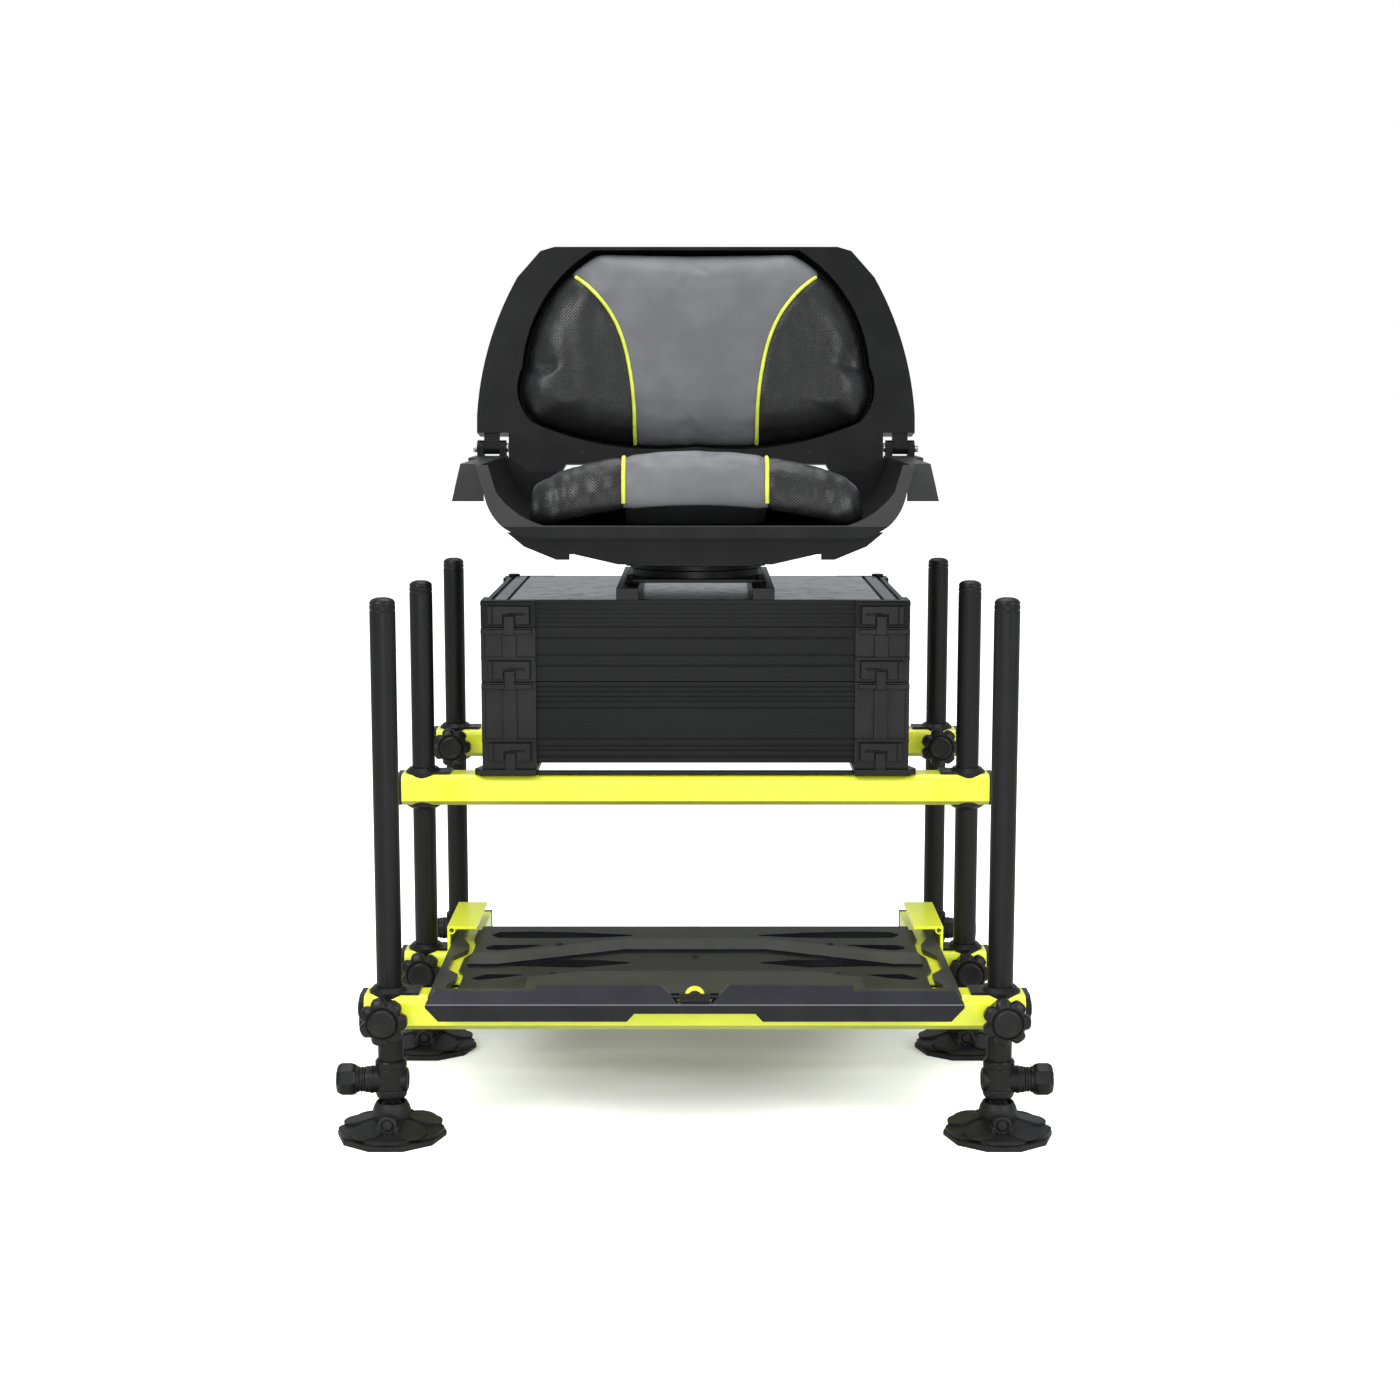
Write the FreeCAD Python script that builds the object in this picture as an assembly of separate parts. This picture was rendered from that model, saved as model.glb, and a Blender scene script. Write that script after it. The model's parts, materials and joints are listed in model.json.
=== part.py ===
import FreeCAD, Part
import math
import os

# Fishing seat box: a tackle box with a swivel bucket seat on six clamped legs, with a pull-out footplate.
# Sizes are millimetres. Z is up from the ground, X to the sitter's left as seen from the front, Y to the rear.
# While it is built, Y is 0 at the middle legs. The last step moves the whole object so that its box is centred.

V = FreeCAD.Vector

# Legs and their places
leg_diameter = 25.0
leg_wall = 2.0
leg_spacing = 600.0
front_pitch = 300.0
rear_pitch = 331.0
front_leg_top = 535.0
rear_leg_top = 526.0
cap_height = 13.5
cap_plug = 14.0
cap_dome = 5.6
cap_rings = [3.0, 6.0]
cap_ring_width = 1.0
cap_ring_depth = 0.6
inner_leg_length = 250.0
fit_gap = 0.1
loose_gap = 0.4

# Feet
ball_height = 24.0
ball_radius = 13.5
socket_wall = 5.7
socket_rim = 8.0
neck_radius = 7.0
foot_radius = 54.0
foot_sides = 10
foot_plate = 5.0
foot_crown = 15.0
petal_count = 5
petal_thickness = 3.0
petal_tilt = 14.0
petal_root = 16.0
petal_tip = 52.4
petal_lift = 1.5
petal_fill = 0.62
tower_half = 11.0
tower_front = 35.6
tower_drop = 4.0
foot_screw_radius = 4.0
foot_screw_sink = 2.4
tower_slot = 2.0
tower_slot_x = 6.0
neck_length = 15.0
neck_flare = 6.0

# Tee that clamps the inner leg
tee_bottom = 40.0
tee_height = 38.5
tee_radius = 15.5
tee_arm_radius = 15.0
tee_arm_reach = 25.0
tee_arm_height = 57.5
tee_knob_radius = 17.5
tee_knob_length = 22.0
tee_neck_length = 7.0
tee_socket_depth = 14.0
tee_nose = 4.0
tee_nose_taper = 3.0
tee_knuckle_reach = 17.0
tee_neck_radius = 13.3
tee_knob_sides = 8
tee_knob_cone = 3.0
tee_knob_taper = 5.0

# Beams
beam_length = 645.0
beam_height = 34.0
beam_depth = 42.0
beam_wall = 2.5
beam_round = 9.0
beam_bevel = 5.0
upper_beam_z = 297.0
footplate_beam_z = 130.0
lower_beam_z = 98.5
end_cap = 5.0
end_boss = 3.0
end_boss_radius = 8.0
beam_inner_bevel = 4.0

# Collars in which the legs slide, and the clamp knobs
collar_radius = 15.5
collar_flange = 19.5
collar_top = 6.0
collar_below = 5.0
collar_lip = 2.0
leaf_reach = 11.0
leaf_width = 30.0
leaf_thickness = 2.5
boss_radius = 14.0
boss_reach = 36.0
clamp_screw = 4.0
knob_radius = 17.5
knob_lobe = 6.5
knob_lobes = 7
knob_head = 16.0
knob_stem_radius = 12.0
knob_stem = 6.0
knob_face_radius = 13.0
knob_face = 2.0

# Box
box_width = 456.0
box_front = -17.0
box_depth = 319.0
deep_bottom = 327.0
deep_height = 89.5
middle_height = 59.5
lid_height = 29.0
unit_gap = 0.5
panel_wall = 3.0
groove_height = 1.6
groove_depth = 1.0
deep_grooves = [6.0, 13.0, 18.0, 26.0, 60.0, 67.0, 72.0, 78.0, 83.0]
middle_grooves = [16.5, 28.0, 46.5]
lid_grooves = [4.0, 9.0, 13.5, 18.5, 24.0]
tray_plate = 2.0
corner_width = 59.5
corner_side = 42.0
corner_proud = 5.0
ledge_proud = 4.0
ledge_height = 5.0
tongue_width = 11.0
tongue_rise = 12.0
tongue_proud = 4.1
tongue_root = 8.0
tongue_short = 3.5
rib_width = 15.0
rib_proud = 3.0
edge_rib = 4.0
edge_rib_proud = 2.0
ledge_clearance = 1.5
ledge_thickness = 3.0
ledge_drop = 2.0

# Latches
latch_length = 44.0
latch_height = 19.5
latch_thickness = 5.0
latch_lift = 3.5
latch_end = 8.5
notch_width = 14.0
notch_height = 11.0
latch_line = 2.0
latch_line_start = 4.0
latch_grip = 6.0
latch_grip_width = 1.5
latch_grip_depth = 1.0

# Castings and bars between the beams and the box
base_gap = 6.0
base_front = 6.0
base_rear = 35.0
base_side = 2.0
base_wing = 9.0
base_wing_tip = 12.0
base_wing_length = 40.0
base_bar = 10.0
base_bar_height = 4.0
base_bar_rear = 20.0

# Drawer
drawer_gap = 2.0
drawer_wall = 2.5
drawer_floor = 2.5
drawer_height = 52.0
drawer_panel = 3.0
pull_width = 60.0
pull_height = 14.0
pull_proud = 5.0
pull_wall = 2.0
pull_drop = 8.0
pull_lip = 3.0
drawer_lift = 3.0

# Lid and swivel
recess = 2.5
recess_rim = 5.0
panel_margin = 26.0
panel_gap = 2.0
trim_width = 13.0
trim_gap = 3.5
trim_proud = 0.5
trim_short = 15.0
bump_radius = 7.0
bump_height = 4.0
bump_inset = 6.0
knuckle_gap = 0.3
hinge_reach = 1.0
hinge_plate = 2.5
hinge_leaf_length = 25.0
hinge_plate_length = 28.0
hinge_plate_drop = 2.0
hinge_spacing = 200.0
hinge_width = 40.0
hinge_radius = 5.0
hinge_pin = 2.5
bar_inner = 62.0
bar_width = 24.0
bar_height = 13.0
swivel_y = 130.0
swivel_plate_size = 160.0
swivel_plate_thickness = 4.0
ring_radius = 74.0
ring_width = 14.0
ring_height = 8.0
upper_ring_height = 6.0
plate_corner = 12.0
bar_short = 20.0
bolt_radius = 5.0
bolt_inset = 8.0
bolt_height = 4.5
riser_inset = 20.0

# Footplate
channel_width = 31.5
channel_outer = 262.5
channel_wall = 3.0
channel_height = 54.0
channel_front = -125.0
channel_rear = -10.0
channel_foot = 22.0
port_radius = 4.5
port_bore = 2.5
port_sink = 1.0
port_depth = 20.0
rail_width = 27.5
rail_height = 30.0
rail_wall = 2.5
rail_gap = 1.0
rail_side_gap = 2.0
rail_rear = 30.0
rail_cap = 5.0
deck_rear = -68.0
deck_top = 156.0
deck_plate = 4.0
deck_edge = 12.0
deck_rim = 4.0
deck_rib = 4.0
deck_ribs = [-150.0, -75.0, 0.0, 75.0, 150.0]
slot_wall = 2.5
lime_gap = 11.0
flange_thickness = 2.0
band_rise = 2.0
band_width = 46.5
band_middle = 73.0
band_middle_y = -129.5
band_bend = 200.0
band_side_y = -190.0
apron_y = -265.0
apron_half = 165.0
apron_slope = 50.0
apron_drop = 23.0
fascia_half = 258.0
fascia_reach = 62.0
fascia_top = 167.0
fascia_crease = 150.0
fascia_bottom = 133.0
fascia_thickness = 14.0
fascia_tuck = 2.0
fascia_slope = 9.0
fascia_lap = 3.0
fascia_corner = 13.0
fascia_shoulder = 12.0
fascia_step = 5.0
fascia_step_x = 152.0
rise_half = 66.0
rise_slope = 8.0
rise_height = 8.0
mouth_top = 34.0
mouth_bottom = 15.5
bracket_height = 10.0
catch_width = 30.0
catch_height = 8.0
catch_back = 12.0
catch_front = 3.0
catch_ribs = [-8.0, 0.0, 8.0]
catch_rib = 3.0
arc_radius = 10.0
arc_width = 3.0
catch_axle_y = 7.5
catch_axle_z = 6.0
catch_pin = 1.5
catch_pin_half = 28.0
moulding_gap = 0.5
moulding_width = 20.0
moulding_short = 2.0
moulding_height = 5.0

# Seat pan
pan_front = -108.0
pan_rear = 318.0
pan_wall = 4.0
pan_floor = 583.0
pan_flat = 158.0
pan_top = 652.0
pan_half = 236.0
lip_height = 13.0
lip_depth = 9.0
wing_reach = pan_half + 31.0
wing_rake = 10.0
wing_drop = 41.0
wing_front = 20.0
wing_rear = 235.0
rib_bottom = 548.0
rib_thickness = 5.0
rib_places = [-60.0, 20.0, 100.0, 180.0, 260.0]
rib_half = pan_half - 36.0
rib_end_run = 18.0
rib_step_run = 52.0
rib_boss_run = 66.0
rib_end_rise = 19.0
rib_step_rise = 5.0
rib_boss_rise = 12.0
keel_x = 120.0
keel_thickness = 5.0
keel_bottom = 557.0
boss_height = 6.0
boss_inset = 2.0
knee_drop = 12.0
knee_height = 42.0
knee_bow = 17.0
lip_knee = 8.0
lip_rake = 80.0
back_cut_depth = 30.0
back_slot = 3.0
sill_inner = pan_half - 68.0
sill_top = 634.0
sill_y = 285.0
sill_thickness = 4.0
shelf_reach = 4.0

# Backrest and its hinge
hinge_y = 310.0
hinge_z = 662.0
hinge_pin_radius = 3.0
pin_head_radius = 5.5
pin_head = 4.5
pin_inner_head = 2.0
pin_gap = 0.5
ear_inner = pan_half - 5.0
ear_thickness = 8.0
ear_pitch = 27.0
ear_radius = 9.0
lug_gap = 0.5
back_lean = 8.0
back_depth = 42.0
back_skin = 4.0
back_top = 905.0
back_shoulder = 37.0
back_knee = 700.0
back_bottom = 628.0
back_half = pan_half + 30.0
back_lean_in = 49.0
back_bow = 13.0
back_corner = 172.0
back_edge = 189.0
back_foot = pan_half - 8.5
back_foot_top = 648.0
back_foot_bottom = pan_half - 32.0
back_front = 10.0
back_solid = 11.0
band_depth = 14.0
back_notch = 158.0
back_notch_slope = 8.0
back_notch_height = 13.0
lug_radius = 8.0
side_bottom = 679.0

# Cushions
cushion_gap = 0.8
pad_room = 5.0
seat_cushion_half = pan_half - 58.0
seam_x = 74.0
seam_width = 3.0
seam_depth = 3.0
back_cushion_half = 210.0
back_cushion_bottom = 667.0
back_cushion_top = 7.0
back_crown = 118.0
seat_crest = 661.0
seat_crown = 30.0
seat_nose = 26.0
seat_front_gap = 14.0
seat_roll = 38.0
seat_chin = 46.0
seat_tail = 628.0
seat_rear = 262.0

# Values worked out from the ones above
leg_radius = leg_diameter / 2
leg_x = leg_spacing / 2
leg_bore = leg_radius - leg_wall
inner_radius = leg_bore - fit_gap
front_y = -front_pitch
rear_y = rear_pitch
upper_top = upper_beam_z + beam_height / 2
lower_top = lower_beam_z + beam_height / 2
middle_bottom = deep_bottom + deep_height + unit_gap
lid_bottom = middle_bottom + middle_height + unit_gap
lid_top = lid_bottom + lid_height
box_rear = box_front + box_depth
box_half = box_width / 2
corner_face = box_front - corner_proud
latch_back = corner_face - loose_gap
latch_pivot_x = box_half + corner_proud - latch_end + 1 - latch_length
latch_pivot_y = latch_back - latch_thickness / 2
tongue_x = box_half - 26.0
ring_bottom = lid_top + bar_height + swivel_plate_thickness
seat_plate_bottom = ring_bottom + ring_height + loose_gap
fascia_front = front_y - fascia_reach
fascia_back = fascia_front + fascia_thickness
rail_outer = channel_outer - channel_wall - rail_side_gap
rail_bottom = lower_top + channel_wall + rail_gap
rail_top = rail_bottom + rail_height
deck_half = rail_outer - rail_width
y_centre = (rear_y + foot_radius + fascia_front) / 2


def box(x0, x1, y0, y1, z0, z1):
    return Part.makeBox(x1 - x0, y1 - y0, z1 - z0, V(x0, y0, z0))


def rod(radius, x, y, z, direction, length):
    return Part.makeCylinder(radius, length, V(x, y, z), V(*direction))


def cone(r0, r1, x, y, z, direction, length):
    return Part.makeCone(r0, r1, length, V(x, y, z), V(*direction))


def fuse(shapes):
    joined = shapes[0].multiFuse(shapes[1:])
    return joined.removeSplitter()


def prism(points, way):
    corners = [V(*p) for p in points]
    return Part.Face(Part.makePolygon(corners + corners[:1])).extrude(V(*way))


def mirror(shape):
    return shape.mirror(V(0, 0, 0), V(1, 0, 0))


def pair(shape):
    return [shape, mirror(shape)]


def moved(shape, x, y, z):
    copy = shape.copy()
    copy.translate(V(x, y, z))
    return copy


def edges_along(shape, way, keep):
    # Straight edges that run along a direction and whose centre passes the test
    found = []
    for edge in shape.Edges:
        if isinstance(edge.Curve, Part.Line) and abs(edge.Curve.Direction.dot(V(*way))) > 0.999:
            if keep(edge.CenterOfMass):
                found.append(edge)
    return found


def save(name, pieces):
    flat = []
    for piece in pieces:
        flat.extend(piece.Solids)
    shape = flat[0] if len(flat) == 1 else Part.makeCompound(flat)
    shape = moved(shape, 0, -y_centre, 0)
    for solid in shape.Solids:
        if not (solid.isValid() and solid.isClosed() and solid.Volume > 0):
            print("bad solid in", name)
    shape.exportStep(f"parts/{name}.step")
    print(name, len(shape.Solids))


# Beams


def beam_envelope(y, z):
    half = beam_length / 2
    low = z - beam_height / 2
    body = box(-half, half, y - beam_depth / 2, y + beam_depth / 2, low, low + beam_height)
    body = body.makeFillet(beam_round, edges_along(body, (1, 0, 0), lambda c: c.z > z))
    return body.makeChamfer(beam_bevel, edges_along(body, (1, 0, 0), lambda c: c.z < low + 0.1))


def beam(y, z, knobs):
    half = beam_length / 2 + 1
    low = z - beam_height / 2 + beam_wall
    room = box(-half, half, y - beam_depth / 2 + beam_wall, y + beam_depth / 2 - beam_wall,
               low, low + beam_height - 2 * beam_wall)
    room = room.makeFillet(beam_round - beam_wall, edges_along(room, (1, 0, 0), lambda c: c.z > z))
    room = room.makeChamfer(beam_inner_bevel, edges_along(room, (1, 0, 0), lambda c: c.z < low + 0.1))
    body = beam_envelope(y, z).cut(room)
    for side in (-1, 1):
        x = side * leg_x
        body = body.cut(rod(collar_radius + fit_gap, x, y, z - beam_height, (0, 0, 1), 2 * beam_height))
        if knobs:
            body = body.cut(rod(boss_radius + fit_gap, x, y, z, (0, -1, 0), beam_depth))
    return body


def end_caps(y, z):
    shell = beam_envelope(y, z)
    half = beam_length / 2
    end = box(half - end_cap, half, y - beam_depth, y + beam_depth, z - beam_height, z + beam_height)
    boss = rod(end_boss_radius, half + end_cap - 1, y, z, (1, 0, 0), end_boss + 1)
    cap = fuse([moved(shell.common(end), end_cap, 0, 0), boss])
    return pair(cap)


def collar(x, y, z, knob):
    top = z + beam_height / 2
    low = z - beam_height / 2
    inboard = -1 if x > 0 else 1
    sleeve = rod(collar_radius, x, y, low - collar_below, (0, 0, 1), beam_height + collar_below + collar_top)
    upper = rod(collar_flange, x, y, top - beam_round, (0, 0, 1), beam_round + collar_lip)
    start = top + collar_lip
    upper_taper = cone(collar_flange, collar_radius, x, y, start, (0, 0, 1), collar_top - collar_lip)
    lower = rod(collar_flange, x, y, low - collar_lip, (0, 0, 1), beam_bevel + collar_lip)
    start = low - collar_below
    lower_taper = cone(collar_radius, collar_flange, x, y, start, (0, 0, 1), collar_below - collar_lip)
    x0, x1 = sorted([x, x + inboard * (collar_flange + leaf_reach)])
    leaf = box(x0, x1, y - leaf_width / 2, y + leaf_width / 2, top, top + leaf_thickness)
    skirt = fuse([upper, upper_taper, lower, lower_taper, leaf]).cut(beam_envelope(y, z))
    parts = [sleeve] + skirt.Solids
    if knob:
        parts.append(rod(boss_radius, x, y, z, (0, -1, 0), boss_reach))
    body = fuse(parts).cut(rod(leg_radius + fit_gap, x, y, low - beam_height, (0, 0, 1), 3 * beam_height))
    if knob:
        body = body.cut(rod(clamp_screw + fit_gap, x, y, z, (0, -1, 0), boss_reach + 1))
    return body


def collars(y, z, knob):
    return [collar(side * leg_x, y, z, knob) for side in (-1, 1)]


def clamp_knob(x, y, z):
    screw_tip = leg_radius + loose_gap
    start = boss_reach + loose_gap
    pieces = [rod(clamp_screw, x, y - screw_tip, z, (0, -1, 0), start + knob_stem - screw_tip)]
    pieces.append(cone(knob_stem_radius, knob_radius, x, y - start, z, (0, -1, 0), knob_stem))
    face = y - start - knob_stem
    pieces.append(rod(knob_radius, x, face, z, (0, -1, 0), knob_head))
    for i in range(knob_lobes):
        turn = 2 * math.pi * i / knob_lobes + math.pi / 2
        lobe_x = x + knob_radius * math.cos(turn)
        lobe_z = z + knob_radius * math.sin(turn)
        pieces.append(rod(knob_lobe, lobe_x, face, lobe_z, (0, -1, 0), knob_head))
    pieces.append(rod(knob_face_radius, x, face - knob_head, z, (0, -1, 0), knob_face))
    return fuse(pieces)


# Legs


def leg_cap(x, y, top):
    body = rod(leg_radius, x, y, top - cap_height, (0, 0, 1), cap_height)
    rim = [e for e in body.Edges if isinstance(e.Curve, Part.Circle) and e.CenterOfMass.z > top - 1]
    body = body.makeFillet(cap_dome, rim)
    for level in cap_rings:
        ring = rod(leg_radius + 1, x, y, top - cap_height + level, (0, 0, 1), cap_ring_width)
        core = rod(leg_radius - cap_ring_depth, x, y, top - cap_height, (0, 0, 1), cap_height)
        body = body.cut(ring.cut(core))
    plug = rod(leg_bore - fit_gap, x, y, top - cap_height - cap_plug, (0, 0, 1), cap_plug + 1)
    return fuse([body, plug])


def leg_tube(x, y, bottom, top):
    length = top - cap_height - bottom
    tube = rod(leg_radius, x, y, bottom, (0, 0, 1), length)
    return tube.cut(rod(leg_bore, x, y, bottom - 1, (0, 0, 1), length + 2))


def tee(x, y):
    outward = 1 if x > 0 else -1
    top = tee_bottom + tee_height
    barrel = rod(tee_radius, x, y, tee_bottom + tee_nose, (0, 0, 1), tee_height - tee_nose)
    nose = cone(tee_radius - tee_nose_taper, tee_radius, x, y, tee_bottom, (0, 0, 1), tee_nose)
    arm = rod(tee_arm_radius, x, y, tee_arm_height, (outward, 0, 0), tee_arm_reach)
    knuckle = rod(tee_radius - 2, x, y, tee_arm_height, (-outward, 0, 0), tee_knuckle_reach)
    body = fuse([barrel, nose, arm, knuckle])
    body = body.cut(rod(leg_bore, x, y, tee_bottom - 1, (0, 0, 1), tee_height + 2))
    body = body.cut(rod(leg_radius + fit_gap, x, y, top - tee_socket_depth, (0, 0, 1), tee_socket_depth + 1))
    return body.cut(rod(clamp_screw + fit_gap, x, y, tee_arm_height, (outward, 0, 0), tee_arm_reach + 1))


def tee_knob(x, y):
    outward = 1 if x > 0 else -1
    start = tee_arm_reach + loose_gap
    tip = inner_radius + loose_gap
    screw = rod(clamp_screw, x + outward * tip, y, tee_arm_height, (outward, 0, 0), start + 2 - tip)
    neck = rod(tee_neck_radius, x + outward * start, y, tee_arm_height, (outward, 0, 0), tee_neck_length)
    head_start = start + tee_neck_length - 0.5
    outline = []
    for i in range(tee_knob_sides):
        turn = 2 * math.pi * (i + 0.5) / tee_knob_sides
        outline.append((x + outward * head_start, y + tee_knob_radius * math.cos(turn),
                        tee_arm_height + tee_knob_radius * math.sin(turn)))
    head = prism(outline, (outward * (tee_knob_length - 0.5), 0, 0))
    taper = cone(tee_knob_radius + tee_knob_cone, tee_knob_radius - tee_knob_taper, x + outward * head_start,
                 y, tee_arm_height, (outward, 0, 0), tee_knob_length)
    return fuse([screw, neck, head.common(taper)])


def ball_end(x, y, radius):
    # Ball, neck and shoulder up to the bottom of the tube that it plugs
    shoulder = ball_height + neck_length
    ball = Part.makeSphere(ball_radius, V(x, y, ball_height))
    neck = rod(neck_radius, x, y, ball_height, (0, 0, 1), shoulder - ball_height + 1)
    flare = cone(neck_radius, radius, x, y, shoulder, (0, 0, 1), neck_flare)
    return fuse([ball, neck, flare]), shoulder + neck_flare


def inner_leg(x, y):
    end, start = ball_end(x, y, inner_radius)
    tube = rod(inner_radius, x, y, start, (0, 0, 1), inner_leg_length)
    bore = rod(inner_radius - leg_wall, x, y, start + socket_rim, (0, 0, 1), inner_leg_length)
    return fuse([end, tube]).cut(bore)


def clamped_leg(x, y, top):
    bottom = tee_bottom + tee_height - tee_socket_depth
    return [leg_tube(x, y, bottom, top), leg_cap(x, y, top), tee(x, y)]


def middle_leg(x, y, top):
    end, start = ball_end(x, y, leg_radius)
    plug = rod(leg_bore - fit_gap, x, y, start - 1, (0, 0, 1), cap_plug + 1)
    return [leg_tube(x, y, start, top), leg_cap(x, y, top), fuse([end, plug])]


def foot(x, y):
    points = []
    for i in range(foot_sides):
        turn = 2 * math.pi * (i + 0.5) / foot_sides
        points.append((foot_radius * math.cos(turn), foot_radius * math.sin(turn)))
    plate = prism([(px, py, 0) for px, py in points], (0, 0, foot_plate))
    lower = Part.makePolygon([V(px, py, foot_plate) for px, py in points + points[:1]])
    share = (ball_radius + socket_wall) / foot_radius
    upper = Part.makePolygon([V(px * share, py * share, foot_crown) for px, py in points + points[:1]])
    crown = Part.makeLoft([lower, upper], True, True)
    pieces = [plate, crown]
    for i in range(petal_count):
        half = math.pi / petal_count * petal_fill
        across = math.sin(half)
        along = math.cos(half)
        root_y = petal_root * math.tan(half)
        tip_x = petal_tip * along
        tip_y = petal_tip * across
        blade = prism([(petal_root, -root_y, 0), (tip_x, -tip_y, 0), (petal_tip, 0, 0), (tip_x, tip_y, 0),
                       (petal_root, root_y, 0)], (0, 0, petal_thickness))
        blade.rotate(V(petal_root, 0, 0), V(0, 1, 0), petal_tilt)
        blade.translate(V(0, 0, foot_crown + petal_lift))
        blade.rotate(V(0, 0, 0), V(0, 0, 1), 90 + 360 / petal_count * i)
        pieces.append(blade)
    dome = Part.makeSphere(ball_radius + socket_wall, V(0, 0, ball_height))
    dome = dome.common(box(-foot_radius, foot_radius, -foot_radius, foot_radius, 2, ball_height + socket_rim))
    pieces.append(dome)
    tower_top = ball_height - tower_drop
    tower = box(-tower_half, tower_half, -tower_front, -ball_radius, 0, tower_top)
    arch = rod(tower_half, 0, -tower_front, tower_top, (0, 1, 0), tower_front - ball_radius)
    pieces.extend([tower, arch])
    body = fuse(pieces)
    screw_z = tower_top + 2
    sink = foot_screw_sink + fit_gap
    body = body.cut(rod(foot_screw_radius + loose_gap, 0, -tower_front - 1, screw_z, (0, 1, 0), sink + 1))
    for side in (-1, 1):
        x0 = side * tower_slot_x - tower_slot / 2
        body = body.cut(box(x0, x0 + tower_slot, -tower_front - 1, -tower_front + sink, foot_plate,
                            tower_top - tower_drop))
    body = body.cut(Part.makeSphere(ball_radius + loose_gap, V(0, 0, ball_height)))
    screw_y = foot_screw_sink - tower_front
    screw = rod(foot_screw_radius, 0, screw_y, screw_z, (0, -1, 0), foot_screw_sink - 0.4)
    return [moved(body, x, y, 0), moved(screw, x, y, 0)]


# Box units


def grooved(body, bottom, heights):
    # Shallow lines round the outside of a unit, where its extruded panels are ribbed
    for height in heights:
        low = bottom + height
        ring = box(-box_half - 1, box_half + 1, box_front - 1, box_rear + 1, low, low + groove_height)
        core = box(-box_half + groove_depth, box_half - groove_depth,
                   box_front + groove_depth, box_rear - groove_depth, low - 1, low + groove_height + 1)
        body = body.cut(ring.cut(core))
    return body


def deep_unit():
    low = deep_bottom
    top = low + deep_height
    body = box(-box_half, box_half, box_front, box_rear, low, top)
    body = body.cut(box(-box_half + panel_wall, box_half - panel_wall, box_front + panel_wall,
                        box_rear - panel_wall, low + panel_wall, top + 1))
    return grooved(body, low, deep_grooves)


def middle_unit():
    low = middle_bottom
    top = low + middle_height
    body = box(-box_half, box_half, box_front, box_rear, low, top)
    room = box(-box_half + panel_wall, box_half - panel_wall, box_front + panel_wall, box_rear - panel_wall,
               low + tray_plate, top - tray_plate)
    y0 = corner_face + corner_side + corner_proud
    y1 = box_rear + corner_proud - corner_side - corner_proud
    mouth = box(-box_half - 1, -box_half + panel_wall + 1, y0, y1, low + tray_plate, top - tray_plate)
    return grooved(body.cut(room).cut(mouth), low, middle_grooves)


def corner(bottom, height, latch_base, tongue):
    # One front corner casting, on the +X side. The ledge over the latch is set from the unit's own base.
    outer = box_half + corner_proud
    inner = outer - corner_width
    top = bottom + height
    face = corner_face
    plate = box(inner, outer, face, box_front, bottom, top)
    side = box(box_half, outer, face, face + corner_side, bottom, top)
    latch_top = latch_base + latch_lift + latch_height + ledge_clearance
    pieces = [plate, side]
    pieces.append(box(inner, outer, face - ledge_proud, face, latch_top, latch_top + ledge_thickness))
    if tongue:
        brow = top - ledge_drop
        pieces.append(box(inner + edge_rib, outer, face - ledge_proud, face, brow - ledge_height, brow))
        half_rib = rib_width / 2
        pieces.append(box(tongue_x - half_rib, tongue_x + half_rib, face - rib_proud, face, latch_top, top))
        pieces.append(box(outer - edge_rib, outer, face - edge_rib_proud, face, latch_top, top))
        half = tongue_width / 2
        root = top - tongue_root
        tip = top + unit_gap + latch_lift + tongue_rise - tongue_short
        pieces.append(box(tongue_x - half, tongue_x + half, face - rib_proud, face, root, top))
        pieces.append(box(tongue_x - half, tongue_x + half, latch_back - tongue_proud, latch_back, root, tip))
    return fuse(pieces)


def corner_set(bottom, height, latch_base):
    front = corner(bottom, height, latch_base, True)
    middle_y = (box_front + box_rear) / 2
    rear = corner(bottom, height, latch_base, False).mirror(V(0, middle_y, 0), V(0, 1, 0))
    return pair(front) + pair(rear)


def latch(bottom):
    # The +X latch of one row, hinged at its inboard end
    low = bottom + latch_lift
    x0 = latch_pivot_x
    front = latch_back - latch_thickness
    body = fuse([box(x0, x0 + latch_length, front, latch_back, low, low + latch_height),
                 rod(latch_thickness / 2, x0, latch_pivot_y, low, (0, 0, 1), latch_height)])
    half = notch_width / 2
    notch_top = low + notch_height
    body = body.cut(box(tongue_x - half, tongue_x + half, front - 1, latch_back + 1, low - 1, notch_top))
    line = box(x0 + latch_line_start, tongue_x, front - 1, front + latch_line, notch_top - latch_line / 2,
               notch_top + latch_line / 2)
    edge = x0 + latch_length - latch_grip
    grip = box(edge, edge + latch_grip_width, front - 1, front + latch_grip_depth, low - 1,
               low + latch_height + 1)
    return body.cut(line).cut(grip)


def drawer():
    low = middle_bottom + drawer_lift
    y0 = corner_face + corner_side + corner_proud + drawer_gap
    y1 = box_rear - corner_side - drawer_gap
    x0 = -box_half - drawer_panel
    x1 = box_half - panel_wall - drawer_gap
    body = box(-box_half - 0.5, x1, y0, y1, low, low + drawer_height)
    body = body.cut(box(-box_half + drawer_wall, x1 - drawer_wall, y0 + drawer_wall, y1 - drawer_wall,
                        low + drawer_floor, low + drawer_height + 1))
    panel = box(x0, -box_half, y0, y1, low, low + drawer_height)
    middle_y = (y0 + y1) / 2
    high = low + drawer_height - pull_drop
    half = pull_width / 2
    pull = box(x0 - pull_proud, x0 + 1, middle_y - half, middle_y + half, high - pull_height, high)
    inside = half - pull_lip
    pull = pull.cut(box(x0 - pull_proud + pull_wall, x0, middle_y - inside, middle_y + inside,
                        high - pull_height - 1, high - pull_lip))
    return fuse([body, panel, pull])


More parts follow.
